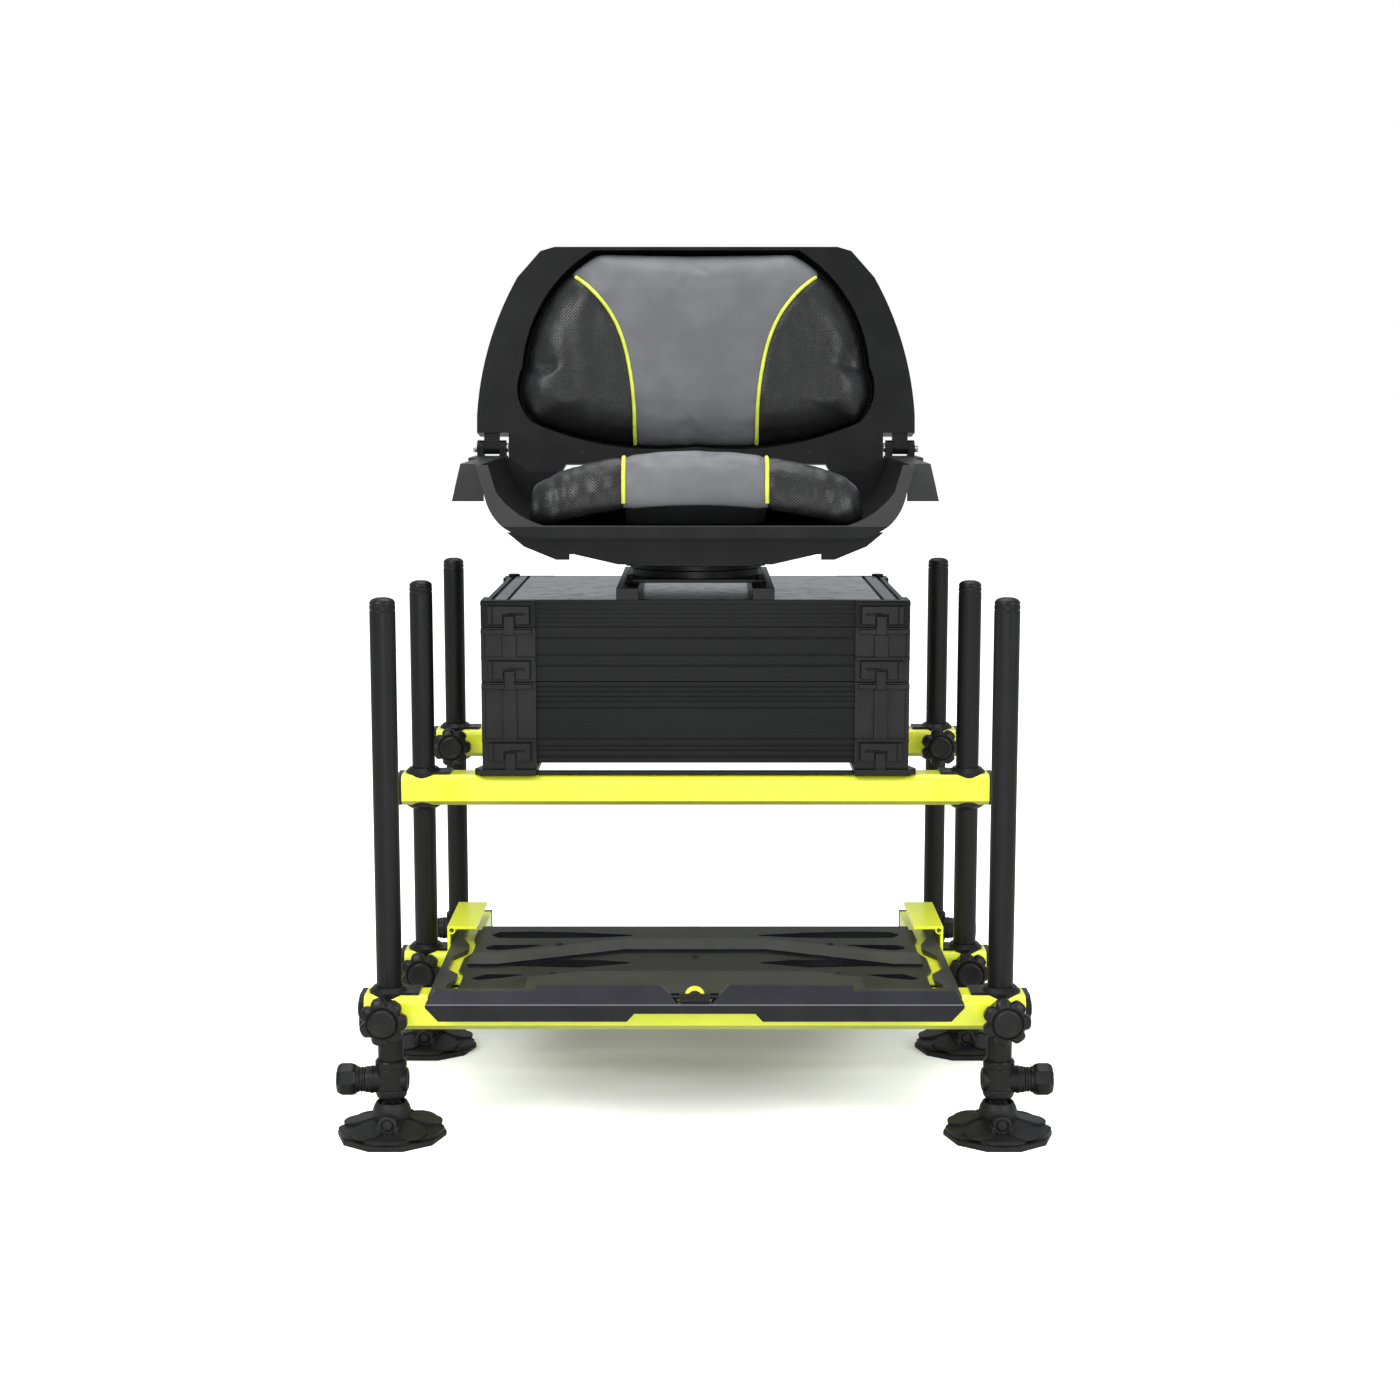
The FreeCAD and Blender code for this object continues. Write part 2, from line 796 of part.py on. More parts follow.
def base_rails():
    outer = box_half + corner_proud
    inner = outer - corner_width
    low = upper_top
    front = corner_face - base_front
    rear = box_rear + corner_proud + base_rear
    high = deep_bottom - base_gap
    rail = box(inner, outer + base_side, front, rear, low, high)
    wing = prism([(outer, front, low), (outer + base_wing, front + base_wing_tip, low),
                  (outer, front + base_wing_length, low)], (0, 0, high - low))
    half = tongue_width / 2
    tongue_top = deep_bottom + latch_lift + tongue_rise - tongue_short
    tongue = box(tongue_x - half, tongue_x + half, latch_back - tongue_proud, latch_back, low + 2, tongue_top)
    rail = fuse([rail, wing, tongue])
    places = (box_front - rib_proud, box_rear + base_bar_rear)
    bars = [box(-inner, inner, y, y + base_bar, low, low + base_bar_height) for y in places]
    return pair(rail) + bars


def lid_frame():
    body = box(-box_half, box_half, box_front, box_rear, lid_bottom, lid_top)
    body = body.cut(box(-box_half + panel_wall, box_half - panel_wall, box_front + panel_wall,
                        box_rear - panel_wall, lid_bottom - 1, lid_top - recess - panel_wall))
    half = box_half - recess_rim
    body = body.cut(box(-half, half, box_front + recess_rim, box_rear - recess_rim, lid_top - recess,
                        lid_top + 1))
    body = grooved(body, lid_bottom, lid_grooves)
    front_corners = pair(corner(lid_bottom, lid_height, lid_bottom, False))
    middle_y = (box_front + box_rear) / 2
    rear_corners = [c.mirror(V(0, middle_y, 0), V(0, 1, 0)) for c in front_corners]
    bump = rod(bump_radius, box_half - bump_inset, box_rear - bump_inset, lid_top - 1, (0, 0, 1), bump_height)
    axis_y = box_rear + hinge_radius + hinge_reach
    third = hinge_width / 3
    knuckles = []
    for side in (-1, 1):
        for part in (-1, 1):
            x0 = side * hinge_spacing / 2 + part * third - third / 2 + knuckle_gap
            x1 = x0 + third - 2 * knuckle_gap
            barrel = rod(hinge_radius, x0, axis_y, lid_bottom, (1, 0, 0), x1 - x0)
            web = box(x0, x1, box_rear - 1, axis_y, lid_bottom + 1, lid_bottom + hinge_radius)
            knuckles.append(fuse([barrel, web]))
    body = fuse([body] + front_corners + rear_corners + pair(bump) + knuckles)
    for side in (-1, 1):
        middle = side * hinge_spacing / 2
        start = middle - hinge_width / 2 - 1
        half = third / 2 + knuckle_gap
        body = body.cut(rod(hinge_pin + fit_gap, start, axis_y, lid_bottom, (1, 0, 0), hinge_width + 2))
        rear = box_rear + 3 * hinge_radius
        body = body.cut(box(middle - half, middle + half, box_rear, rear, lid_bottom - 1,
                            lid_bottom + 2 * hinge_radius))
    return body


def lid_hinges():
    hinges = []
    axis_y = box_rear + hinge_radius + hinge_reach
    half_knuckle = hinge_width / 6 - knuckle_gap
    half = hinge_width / 2
    for side in (-1, 1):
        x = side * hinge_spacing / 2
        barrel = rod(hinge_radius, x - half_knuckle, axis_y, lid_bottom, (1, 0, 0), 2 * half_knuckle)
        leaf = box(x - half_knuckle, x + half_knuckle, box_rear, axis_y, lid_bottom - hinge_leaf_length,
                   lid_bottom)
        plate = box(x - half, x + half, box_rear, box_rear + hinge_plate, lid_bottom - hinge_plate_length,
                    lid_bottom - hinge_radius - hinge_plate_drop)
        pin = rod(hinge_pin, x - half - 1, axis_y, lid_bottom, (1, 0, 0), hinge_width + 2)
        hinges.append(fuse([barrel, leaf, plate, pin]))
    return hinges


def lid_panels():
    half = box_half - panel_margin
    edge = recess_rim + panel_gap
    panel = box(-half, half, box_front + edge, box_rear - edge, lid_top - recess, lid_top)
    inner = half + trim_gap
    trim = box(inner, inner + trim_width, box_front + edge - 1, box_rear - trim_short, lid_top - recess,
               lid_top + trim_proud)
    return [panel] + pair(trim)


def swivel_base():
    low = lid_top
    bar = box(bar_inner, bar_inner + bar_width, box_front, box_rear - bar_short, low, low + bar_height)
    top = low + bar_height
    half = swivel_plate_size / 2
    plate = box(-half, half, swivel_y - half, swivel_y + half, top, top + swivel_plate_thickness)
    plate = plate.makeFillet(plate_corner, edges_along(plate, (0, 0, 1), lambda c: True))
    ring = rod(ring_radius, 0, swivel_y, ring_bottom, (0, 0, 1), ring_height)
    ring = ring.cut(rod(ring_radius - ring_width, 0, swivel_y, ring_bottom - 1, (0, 0, 1), ring_height + 2))
    place = half - bolt_inset
    bolts = []
    for x in (-place, place):
        for y in (swivel_y - place, swivel_y + place):
            bolts.append(rod(bolt_radius, x, y, ring_bottom, (0, 0, 1), bolt_height))
    return pair(bar) + [fuse([plate, ring])] + bolts


# Footplate


def channel():
    # The +X outer slide channel, open towards the middle
    low = lower_top
    top = low + channel_height
    x1 = channel_outer
    x0 = x1 - channel_width
    y0, y1 = channel_front, channel_rear
    wall = channel_wall
    flange_y1 = beam_depth / 2
    foot = box(x1 - wall, x1, y0, flange_y1, low, low + channel_foot)
    web = fuse([box(x1 - wall, x1, y0, y1, low, top), foot])
    upper = box(x0, x1, y0, y1, top - wall, top)
    lower = box(x0, x1, y0, flange_y1, low, low + wall)
    port = rod(port_radius, x1 - wall - port_sink, y0, top - wall - port_sink, (0, 1, 0), y1 - y0)
    port = port.common(box(x0, x1, y0, y1, low, top))
    sink = wall + 1.5 * port_sink
    bore = rod(port_bore, x1 - sink, y0 - 1, top - sink, (0, 1, 0), port_depth)
    return fuse([web, upper, lower, port]).cut(bore)


def rail(grow):
    y0 = front_y + beam_depth / 2
    return box(deck_half + grow, rail_outer - grow, y0 - grow, rail_rear + grow, rail_bottom + grow,
               rail_top - grow)


def slide_rails():
    return pair(rail(0).cut(rail(rail_wall)))


def rail_caps():
    proud = 0.5
    return pair(box(deck_half - proud, rail_outer, rail_rear, rail_rear + rail_cap, rail_bottom - proud,
                    rail_top + proud))


def drain_slots():
    # Openings on the +X half of the deck, from the rear to the front
    wing = [(218, -107), (209, -94), (167, -92), (118, -97), (67, -107), (67, -111), (104, -119), (165, -122),
            (209, -120)]
    fin = [(219, -160), (211, -151), (157, -150), (180, -165), (205, -173), (216, -171)]
    lens = [(192, -236), (158, -218), (144, -212), (100, -213), (67, -222), (67, -227), (115, -244),
            (150, -241)]
    tail = [(222, -286), (207, -269), (169, -271), (190, -284), (214, -292)]
    return [wing, fin, lens, tail]


def moulding_edge():
    # The stepped inner edge of the +X side moulding, from the rear to the front
    inner = rail_outer - moulding_gap - moulding_width
    y1 = deck_rear - moulding_short
    return [(inner + 9, y1), (inner + 9, y1 - 44), (inner, y1 - 73), (inner, y1 - 96), (inner + 12, y1 - 122),
            (inner + 12, y1 - 172), (inner, y1 - 192), (inner, y1 - 218), (inner + 6, y1 - 234),
            (inner + 6, fascia_back)]


def deck_flanges():
    # Thin edges of the deck over the rails, which leave a strip of rail between them and the mouldings
    low = rail_top + rail_gap
    edge = [(max(x - lime_gap, deck_half), y) for x, y in moulding_edge()]
    outline = [(deck_half - 1, edge[0][1])] + edge + [(deck_half - 1, edge[-1][1])]
    return pair(prism([(x, y, low) for x, y in outline], (0, 0, flange_thickness)))


def slot_skirt(outline, low, high):
    # A wall round one drain slot, under the plate
    corners = [V(x, y, low) for x, y in outline]
    wire = Part.makePolygon(corners + corners[:1])
    return Part.Face(wire.makeOffset2D(slot_wall)).extrude(V(0, 0, high - low))


def deck():
    y1 = deck_rear
    low = deck_top - deck_plate
    bottom = deck_top - deck_edge
    body = box(-deck_half, deck_half, fascia_back, y1, low, deck_top)
    beam_back = front_y + beam_depth / 2 + 2
    frame = box(-deck_half, deck_half, beam_back, y1, bottom, low)
    frame = frame.cut(box(-deck_half + deck_rim, deck_half - deck_rim, beam_back + deck_rim, y1 - deck_rim,
                          bottom - 1, low))
    pieces = [body, frame] + deck_flanges()
    for x in deck_ribs:
        pieces.append(box(x - deck_rib / 2, x + deck_rib / 2, beam_back, y1, bottom, low))
    room = box(-deck_half, deck_half, beam_back, y1, bottom, low + 1)
    for outline in drain_slots():
        pieces.extend(pair(slot_skirt(outline, bottom, low + 1).common(room)))
    rear_edge = [(-deck_half, band_side_y), (-band_bend, band_side_y), (-band_middle, band_middle_y),
                 (band_middle, band_middle_y), (band_bend, band_side_y), (deck_half, band_side_y)]
    front_edge = [(x, y - band_width) for x, y in reversed(rear_edge)]
    pieces.append(prism([(x, y, deck_top) for x, y in rear_edge + front_edge], (0, 0, band_rise)))
    flat = apron_half - apron_slope
    apron = [(-apron_half, fascia_back), (-apron_half, apron_y - apron_drop), (-flat, apron_y),
             (flat, apron_y), (apron_half, apron_y - apron_drop), (apron_half, fascia_back)]
    pieces.append(prism([(x, y, deck_top) for x, y in apron], (0, 0, band_rise)))
    body = fuse(pieces)
    depth = deck_edge + band_rise + 2
    for outline in drain_slots():
        hole = prism([(x, y, bottom - 1) for x, y in outline], (0, 0, depth))
        body = body.cut(hole).cut(mirror(hole))
    return body


def fascia():
    front = fascia_front
    back = fascia_back
    half = fascia_half
    low = fascia_bottom
    lap = deck_top + band_rise
    start = front - fascia_step
    body = prism([(-half, front + fascia_tuck, low), (-half, front, fascia_crease),
                  (-half, front + fascia_slope, fascia_top), (-half, back + fascia_lap, fascia_top),
                  (-half, back + fascia_lap, lap), (-half, back, lap), (-half, back, low)], (2 * half, 0, 0))
    deep = 4 * fascia_thickness
    corner_cut = prism([(half + 1, start, low - 1), (half - fascia_corner, start, low - 1),
                        (half + 1, start, fascia_crease - 2)], (0, deep, 0))
    shoulder_cut = prism([(half + 1, start, fascia_crease - 1), (half, start, fascia_crease),
                          (half - fascia_shoulder, start, fascia_top + 1), (half + 1, start, fascia_top + 1)],
                         (0, deep, 0))
    flat = rise_half - rise_slope
    rise = prism([(-rise_half, start, low - 1), (-flat, start, low + rise_height),
                  (flat, start, low + rise_height), (rise_half, start, low - 1)], (0, deep, 0))
    step = box(fascia_step_x, half + 1, start, back + fascia_step, fascia_top - fascia_step, fascia_top + 1)
    opening = prism([(-mouth_top, start, fascia_top + 1), (-mouth_bottom, start, fascia_crease),
                     (mouth_bottom, start, fascia_crease), (mouth_top, start, fascia_top + 1)], (0, deep, 0))
    for waste in pair(corner_cut) + pair(shoulder_cut) + [rise] + pair(step) + [opening]:
        body = body.cut(waste)
    beam_front = front_y - beam_depth / 2
    bracket = box(130, 170, back, beam_front, low + 2, low + 2 + bracket_height)
    end = box(half - 24, half - 8, back, beam_front, low + 4, fascia_crease - 2)
    return fuse([body] + pair(bracket) + pair(end)).cut(catch_axle(catch_pin + fit_gap))


def catch_axle(radius):
    return rod(radius, -catch_pin_half, fascia_front + catch_axle_y, fascia_crease + catch_axle_z, (1, 0, 0),
               2 * catch_pin_half)


def catch():
    front = fascia_front
    low = fascia_crease + 2
    half = catch_width / 2
    lever = box(-half, half, front + catch_front, front + catch_back, low, low + catch_height)
    lever = lever.makeFillet(catch_front, edges_along(lever, (0, 1, 0), lambda c: c.z > low + 1))
    ribs = []
    for x in catch_ribs:
        ribs.append(box(x - catch_rib / 2, x + catch_rib / 2, front + 1, front + catch_front + 1, low + 1,
                        low + catch_height - 1))
    middle = low + catch_height / 2
    depth = catch_back - 6
    arc = rod(arc_radius, 0, front + 5, middle, (0, 1, 0), depth)
    arc = arc.cut(rod(arc_radius - arc_width, 0, front + 4, middle, (0, 1, 0), depth + 2))
    arc = arc.cut(box(-2 * arc_radius, 2 * arc_radius, front, front + 20, low - 20, low + catch_height - 2))
    return fuse([lever, arc, catch_axle(catch_pin)] + ribs)


def mouldings():
    outer = rail_outer - moulding_gap
    edge = moulding_edge()
    outline = [(outer, edge[-1][1]), (outer, edge[0][1])] + edge
    return pair(prism([(x, y, rail_top) for x, y in outline], (0, 0, moulding_height)))


# Seat


def pan_profile(inset, top, y):
    # Closed U outline across the seat at one Y, from the rim down round the bottom corners and back
    floor = pan_floor - pan_wall + inset
    side = pan_half - inset
    knee_x = pan_half - knee_drop - inset
    knee_z = pan_floor + knee_height
    bow_x = knee_x - knee_bow
    bow_z = floor + knee_bow
    right = Part.Arc(V(pan_flat, y, floor), V(bow_x, y, bow_z), V(knee_x, y, knee_z)).toShape()
    left = Part.Arc(V(-knee_x, y, knee_z), V(-bow_x, y, bow_z), V(-pan_flat, y, floor)).toShape()
    lines = [((-pan_flat, floor), (pan_flat, floor)), ((knee_x, knee_z), (side, top)),
             ((side, top), (-side, top)), ((-side, top), (-knee_x, knee_z))]
    made = [Part.makeLine(V(a[0], y, a[1]), V(b[0], y, b[1])) for a, b in lines]
    return Part.Wire([made[0], right, made[1], made[2], made[3], left])


def pan_block(inset, top, y0, y1):
    return Part.Face(pan_profile(inset, top, y0)).extrude(V(0, y1 - y0, 0))


def side_slab(points):
    return prism([(-wing_reach, y, z) for y, z in points], (2 * wing_reach, 0, 0))


def seat_pan():
    room = pan_block(pan_wall, pan_top + 1, pan_front - 1, pan_rear - pan_wall)
    shell = pan_block(0, pan_top, pan_front, pan_rear).cut(room)
    ring = pan_block(0, pan_top, pan_front, wing_front + 40)
    ring = ring.cut(pan_block(lip_height, pan_top + 1, pan_front - 1, wing_front + 41))
    rake_y = pan_front + lip_rake
    low = pan_floor - pan_wall - 1
    knee = pan_floor + lip_knee
    ring = ring.common(side_slab([(pan_front, low), (pan_front, knee), (rake_y, pan_top),
                                  (rake_y + lip_depth, pan_top), (pan_front + lip_depth, knee),
                                  (pan_front + lip_depth, low)]))
    nose = side_slab([(pan_front - 2, knee), (pan_front, knee), (rake_y, pan_top + 0.1),
                      (rake_y, pan_top + 2), (pan_front - 2, pan_top + 2)])
    shell = shell.cut(nose)
    # The rear wall stops under the backrest, with an even slot along its lower edge
    start = pan_rear - back_cut_depth
    sill = back_bottom - back_slot
    side = back_foot + 2
    edge = [(back_foot_bottom + 2, sill), (side, back_foot_top - back_slot - 2), (side, pan_top + 2)]
    outline = [(x, start, z) for x, z in edge] + [(-x, start, z) for x, z in reversed(edge)]
    shell = shell.cut(prism(outline, (0, back_cut_depth + 1, 0)))
    pieces = [shell] + ring.Solids
    inner = pan_half - pan_wall
    for side in (-1, 1):
        wing = wing_block(side, 0, inner, pan_top)
        wing = wing.cut(wing_block(side, pan_wall, inner - 10, pan_top - pan_wall))
        pieces.extend(wing.cut(pan_block(-0.01, pan_top + 5, pan_front, pan_rear)).Solids)
        x0, x1 = sorted([side * inner, side * (ear_inner + ear_pitch + ear_thickness + shelf_reach)])
        pieces.append(box(x0, x1, wing_rear - 1, pan_rear + 5, pan_top - pan_wall, pan_top))
        for start in (ear_inner, ear_inner + ear_pitch):
            x0, x1 = sorted([side * start, side * (start + ear_thickness)])
            ear = fuse([box(x0, x1, hinge_y - ear_radius, hinge_y + ear_radius, pan_top - pan_wall, hinge_z),
                        rod(ear_radius, x0, hinge_y, hinge_z, (1, 0, 0), x1 - x0)])
            pieces.append(ear)
    for y in rib_places:
        pieces.append(seat_rib(y))
    half = swivel_plate_size / 2 - boss_inset
    pieces.append(box(-half, half, swivel_y - half, swivel_y + half, rib_bottom, rib_bottom + boss_height))
    keel = box(keel_x - keel_thickness / 2, keel_x + keel_thickness / 2, rib_places[0], rib_places[-1],
               keel_bottom, pan_floor - 1)
    return fuse(pieces + pair(keel) + sill_walls()).cut(hinge_bore())


def wing_block(side, inset, inner, top):
    # A wing with a raked end. The block that hollows it is inset on three sides and open below.
    low = pan_top - wing_drop - inset
    y0 = wing_front + inset
    outer = wing_reach - inset
    outline = [(inner, top), (outer - wing_rake, top), (outer, low), (inner, low)]
    return prism([(side * x, y0, z) for x, z in outline], (0, wing_rear - inset - y0, 0))


def sill_walls():
    # A low wall inside the pan that covers the slot under the backrest at each side, and leaves the windows open
    low = pan_floor - 1
    outline = [(sill_inner, low), (sill_inner, sill_top), (back_foot_bottom, sill_top), (back_foot, pan_top - 1),
               (pan_half, pan_top - 1), (pan_half, low)]
    wall = prism([(x, sill_y, z) for x, z in outline], (0, sill_thickness, 0))
    return pair(wall.common(pan_block(1, pan_top, sill_y, sill_y + sill_thickness)))


def seat_rib(y):
    # One rib across the underside, deepest over the swivel and with a step on each side
    boss_x = rib_half - rib_boss_run
    step = rib_bottom + rib_step_rise
    right = [(swivel_plate_size / 2 + 2, rib_bottom), (boss_x, rib_bottom + rib_boss_rise), (boss_x, step),
             (rib_half - rib_step_run, step), (rib_half - rib_end_run, rib_bottom + rib_end_rise),
             (rib_half, pan_floor - 1)]
    left = [(-x, z) for x, z in reversed(right)]
    return prism([(x, y, z) for x, z in left + right], (0, rib_thickness, 0))


def hinge_bore():
    return rod(hinge_pin_radius + fit_gap, -back_half, hinge_y, hinge_z, (1, 0, 0), 2 * back_half)


def swivel_plate():
    low = seat_plate_bottom
    half = swivel_plate_size / 2 - boss_inset
    high = low + upper_ring_height
    top = high + swivel_plate_thickness
    ring = rod(ring_radius, 0, swivel_y, low, (0, 0, 1), upper_ring_height)
    ring = ring.cut(rod(ring_radius - ring_width, 0, swivel_y, low - 1, (0, 0, 1), upper_ring_height + 2))
    plate = box(-half, half, swivel_y - half, swivel_y + half, high, top)
    plate = plate.makeFillet(plate_corner, edges_along(plate, (0, 0, 1), lambda c: True))
    half = half - riser_inset
    riser = box(-half, half, swivel_y - half, swivel_y + half, top, rib_bottom)
    return fuse([ring, plate, riser])


def hinge_pins():
    # The inner head is thin, because it sits close beside the backrest
    start = ear_inner - pin_gap - pin_inner_head
    end = ear_inner + ear_pitch + ear_thickness + pin_gap
    pin = rod(hinge_pin_radius, start, hinge_y, hinge_z, (1, 0, 0), end + pin_head - start)
    inner_head = rod(pin_head_radius, start, hinge_y, hinge_z, (1, 0, 0), pin_inner_head)
    outer_head = rod(pin_head_radius, end, hinge_y, hinge_z, (1, 0, 0), pin_head)
    return pair(fuse([pin, inner_head, outer_head]))


def back_outline(inset, y):
    # Front view of the backrest: wide at the hinges, bowed sides, cut corners and a flat top
    low = back_bottom + inset
    side = back_half - inset
    shoulder = back_edge - inset * 0.9
    corner_x = back_corner - inset * 0.6
    top = back_top - inset
    knee_z = back_knee + inset * 0.7
    bend_x = side - back_lean_in
    bend_z = back_top - back_shoulder
    bow_z = (back_knee + bend_z) / 2 - 4
    foot_x = back_foot - inset
    base_z = side_bottom + inset
    right = Part.Arc(V(side, y, knee_z), V(side - back_bow, y, bow_z), V(bend_x, y, bend_z)).toShape()
    left = Part.Arc(V(-bend_x, y, bend_z), V(-side + back_bow, y, bow_z), V(-side, y, knee_z)).toShape()
    crown = [(bend_x, bend_z), (shoulder, top - 5), (corner_x, top)]
    path = crown + [(-x, z) for x, z in reversed(crown)]
    base = [(-side, knee_z), (-side, base_z), (-foot_x, base_z), (-foot_x, back_foot_top + inset),
            (-back_foot_bottom, low)]
    base = base + [(-x, z) for x, z in reversed(base)]
    upper = [Part.makeLine(V(a[0], y, a[1]), V(b[0], y, b[1])) for a, b in zip(path, path[1:])]
    lower = [Part.makeLine(V(a[0], y, a[1]), V(b[0], y, b[1])) for a, b in zip(base, base[1:])]
    return Part.Wire([right] + upper + [left] + lower)


def lean(shape):
    copy = shape.copy()
    copy.rotate(V(0, hinge_y, hinge_z), V(1, 0, 0), -back_lean)
    return copy


def back_slab(inset, y0, y1):
    return Part.Face(back_outline(inset, y0)).extrude(V(0, y1 - y0, 0))


def pad_slab(grow, y0, y1):
    return Part.Face(back_cushion_wire(-grow, y0)).extrude(V(0, y1 - y0, 0))


def back_shell():
    # An even wall all round: the pocket for the pad is open to the front, and the rim is hollow from behind
    front = hinge_y - back_front
    rear = front + back_depth
    wall = pad_room + back_skin
    under = box(-back_half, back_half, front - 1, rear + 1, back_bottom - 1, back_top - back_skin)
    pocket = pad_slab(pad_room, front - 1, rear - back_skin).common(under)
    relief = back_slab(back_skin, front + back_skin, rear + 1).cut(pad_slab(wall, front, rear + 2))
    relief = relief.cut(box(-back_half, back_half, front, rear + 2, back_bottom, side_bottom + back_solid))
    band = box(-back_foot, back_foot, front + band_depth, rear + 1, back_bottom - 1, side_bottom)
    band = band.cut(pad_slab(wall, front, rear + 2))
    notch_z = back_bottom + back_notch_height
    outer = back_notch + back_notch_slope
    notch = prism([(-outer, front - 1, back_bottom - 1), (-back_notch, front - 1, notch_z),
                   (back_notch, front - 1, notch_z), (outer, front - 1, back_bottom - 1)],
                  (0, back_depth + 2, 0))
    body = back_slab(0, front, rear).cut(pocket).cut(relief).cut(band).cut(notch)
    pieces = [body]
    for side in (-1, 1):
        inner = ear_inner + ear_thickness + lug_gap
        x0, x1 = sorted([side * inner, side * (ear_inner + ear_pitch - lug_gap)])
        pieces.append(rod(lug_radius, x0, hinge_y, hinge_z, (1, 0, 0), x1 - x0))
        pieces.append(box(x0, x1, hinge_y - lug_radius, hinge_y + lug_radius, hinge_z,
                          side_bottom + back_skin + 1))
    return lean(fuse(pieces).cut(hinge_bore()))


# Cushions


def back_cushion_wire(inset, y):
    # The back pad seen from the front: narrow flat top, full shoulders and a shallow curved bottom
    side = back_cushion_half - inset
    top = back_top - back_cushion_top - inset
    low = back_cushion_bottom + inset
    crown_x = back_crown - inset * 0.7
    waist = side - 10
    tall = back_top - back_cushion_top - back_cushion_bottom
    temple_z = back_cushion_bottom + 0.74 * tall
    cheek_z = back_cushion_bottom + 0.4 * tall
    heel_z = back_cushion_bottom + 0.22 * tall
    toe_z = back_cushion_bottom + 0.117 * tall + inset * 0.5
    right = Part.Arc(V(crown_x, y, top), V(side - 28, y, temple_z), V(side - 4, y, cheek_z)).toShape()
    heel = Part.Arc(V(side - 4, y, cheek_z), V(side, y, heel_z), V(waist - 6, y, toe_z)).toShape()
    toe = Part.Arc(V(waist - 6, y, toe_z), V(waist - 60, y, low + 10), V(0, y, low)).toShape()
    toe_l = Part.Arc(V(0, y, low), V(-waist + 60, y, low + 10), V(-waist + 6, y, toe_z)).toShape()
    heel_l = Part.Arc(V(-waist + 6, y, toe_z), V(-side, y, heel_z), V(-side + 4, y, cheek_z)).toShape()
    left = Part.Arc(V(-side + 4, y, cheek_z), V(-side + 28, y, temple_z), V(-crown_x, y, top)).toShape()
    crown = Part.makeLine(V(-crown_x, y, top), V(crown_x, y, top))
    return Part.Wire([right, heel, toe, toe_l, heel_l, left, crown])


def back_pad(shrink):
    back = hinge_y - back_front + back_depth - back_skin - cushion_gap
    layers = [(14, 0), (5, 4), (0, 12), (0, 24), (5, 34), (14, 41), (28, 47), (50, 51)]
    wires = [back_cushion_wire(inset + shrink, back - rise + (shrink if rise else 0)) for inset, rise in layers]
    return Part.makeLoft(wires, True, True)


def back_cushion():
    body = back_pad(0)
    front = hinge_y - 80
    groove = []
    for side in (-1, 1):
        bands = []
        for shift in (0, seam_width):
            top = V(side * (152 + shift), front, back_top - 33)
            mid = V(side * (100 + shift), front, back_top - 105)
            low = V(side * (seam_x + shift), front, back_cushion_bottom - 17)
            bands.append(Part.Arc(top, mid, low).toShape())
        ends = [Part.makeLine(bands[0].Vertexes[0].Point, bands[1].Vertexes[0].Point),
                Part.makeLine(bands[0].Vertexes[-1].Point, bands[1].Vertexes[-1].Point)]
        wire = Part.Wire(Part.__sortEdges__([bands[0], ends[0], bands[1], ends[1]]))
        groove.append(Part.Face(wire).extrude(V(0, 60, 0)))
    seams = groove[0].fuse(groove[1]).cut(back_pad(seam_depth))
    return lean(body.cut(seams))


def seat_section(x, shrink):
    # Side view of the seat pad at one X: rolled front edge, gentle slope to the rear, flat underneath
    part = abs(x) / seat_cushion_half
    crest = seat_crest - seat_crown * part ** 2 - shrink
    low = pan_floor + cushion_gap + shrink * 0.5
    nose = low + seat_nose * (1 - part ** 2)
    front = pan_front + seat_front_gap + 8 * part + shrink
    tail = seat_tail - 10 * part ** 2 - shrink
    rear = seat_rear - 10 * part - shrink
    top_y = front + seat_roll
    chin_y = front + seat_chin
    roll = Part.Arc(V(x, front + 6, nose), V(x, front + 2, (nose + crest) / 2), V(x, top_y, crest)).toShape()
    back = Part.Arc(V(x, rear - 22, tail), V(x, rear, (tail + low) / 2), V(x, rear - 16, low)).toShape()
    slope = Part.makeLine(V(x, top_y, crest), V(x, rear - 22, tail))
    under = Part.makeLine(V(x, rear - 16, low), V(x, chin_y, low))
    chin = Part.makeLine(V(x, chin_y, low), V(x, front + 6, nose))
    return Part.Wire([roll, slope, back, under, chin])


def seat_pad(shrink):
    places = [0, 0.2, 0.4, 0.6, 0.75, 0.86, 0.93, 0.98, 1]
    wires = []
    for place in [-p for p in reversed(places[1:])] + places:
        pull = 15 * max(0, (abs(place) - 0.75) / 0.25) ** 3
        wires.append(seat_section(place * (seat_cushion_half - shrink), shrink + pull))
    return Part.makeLoft(wires, True, True)


def seat_cushion():
    body = seat_pad(0)
    y0 = pan_front - 10
    bands = pair(box(seam_x, seam_x + seam_width, y0, y0 + 400, pan_floor + 20, pan_floor + 120))
    seams = bands[0].fuse(bands[1]).cut(seat_pad(seam_depth))
    return body.cut(seams)


os.makedirs("parts", exist_ok=True)

save("upper_front_beam", [beam(0, upper_beam_z, False)])
save("upper_rear_beam", [beam(rear_y, upper_beam_z, True)])
save("lower_mid_beam", [beam(0, lower_beam_z, True)])
save("beam_fittings", collars(0, upper_beam_z, False) + collars(rear_y, upper_beam_z, True)
     + collars(0, lower_beam_z, True) + end_caps(0, upper_beam_z) + end_caps(rear_y, upper_beam_z)
     + end_caps(0, lower_beam_z))
save("base_rails", base_rails())
save("deep_unit", [deep_unit()])
save("deep_corners", corner_set(deep_bottom - 6, deep_height + 6, deep_bottom))
save("footplate_channels", pair(channel()))

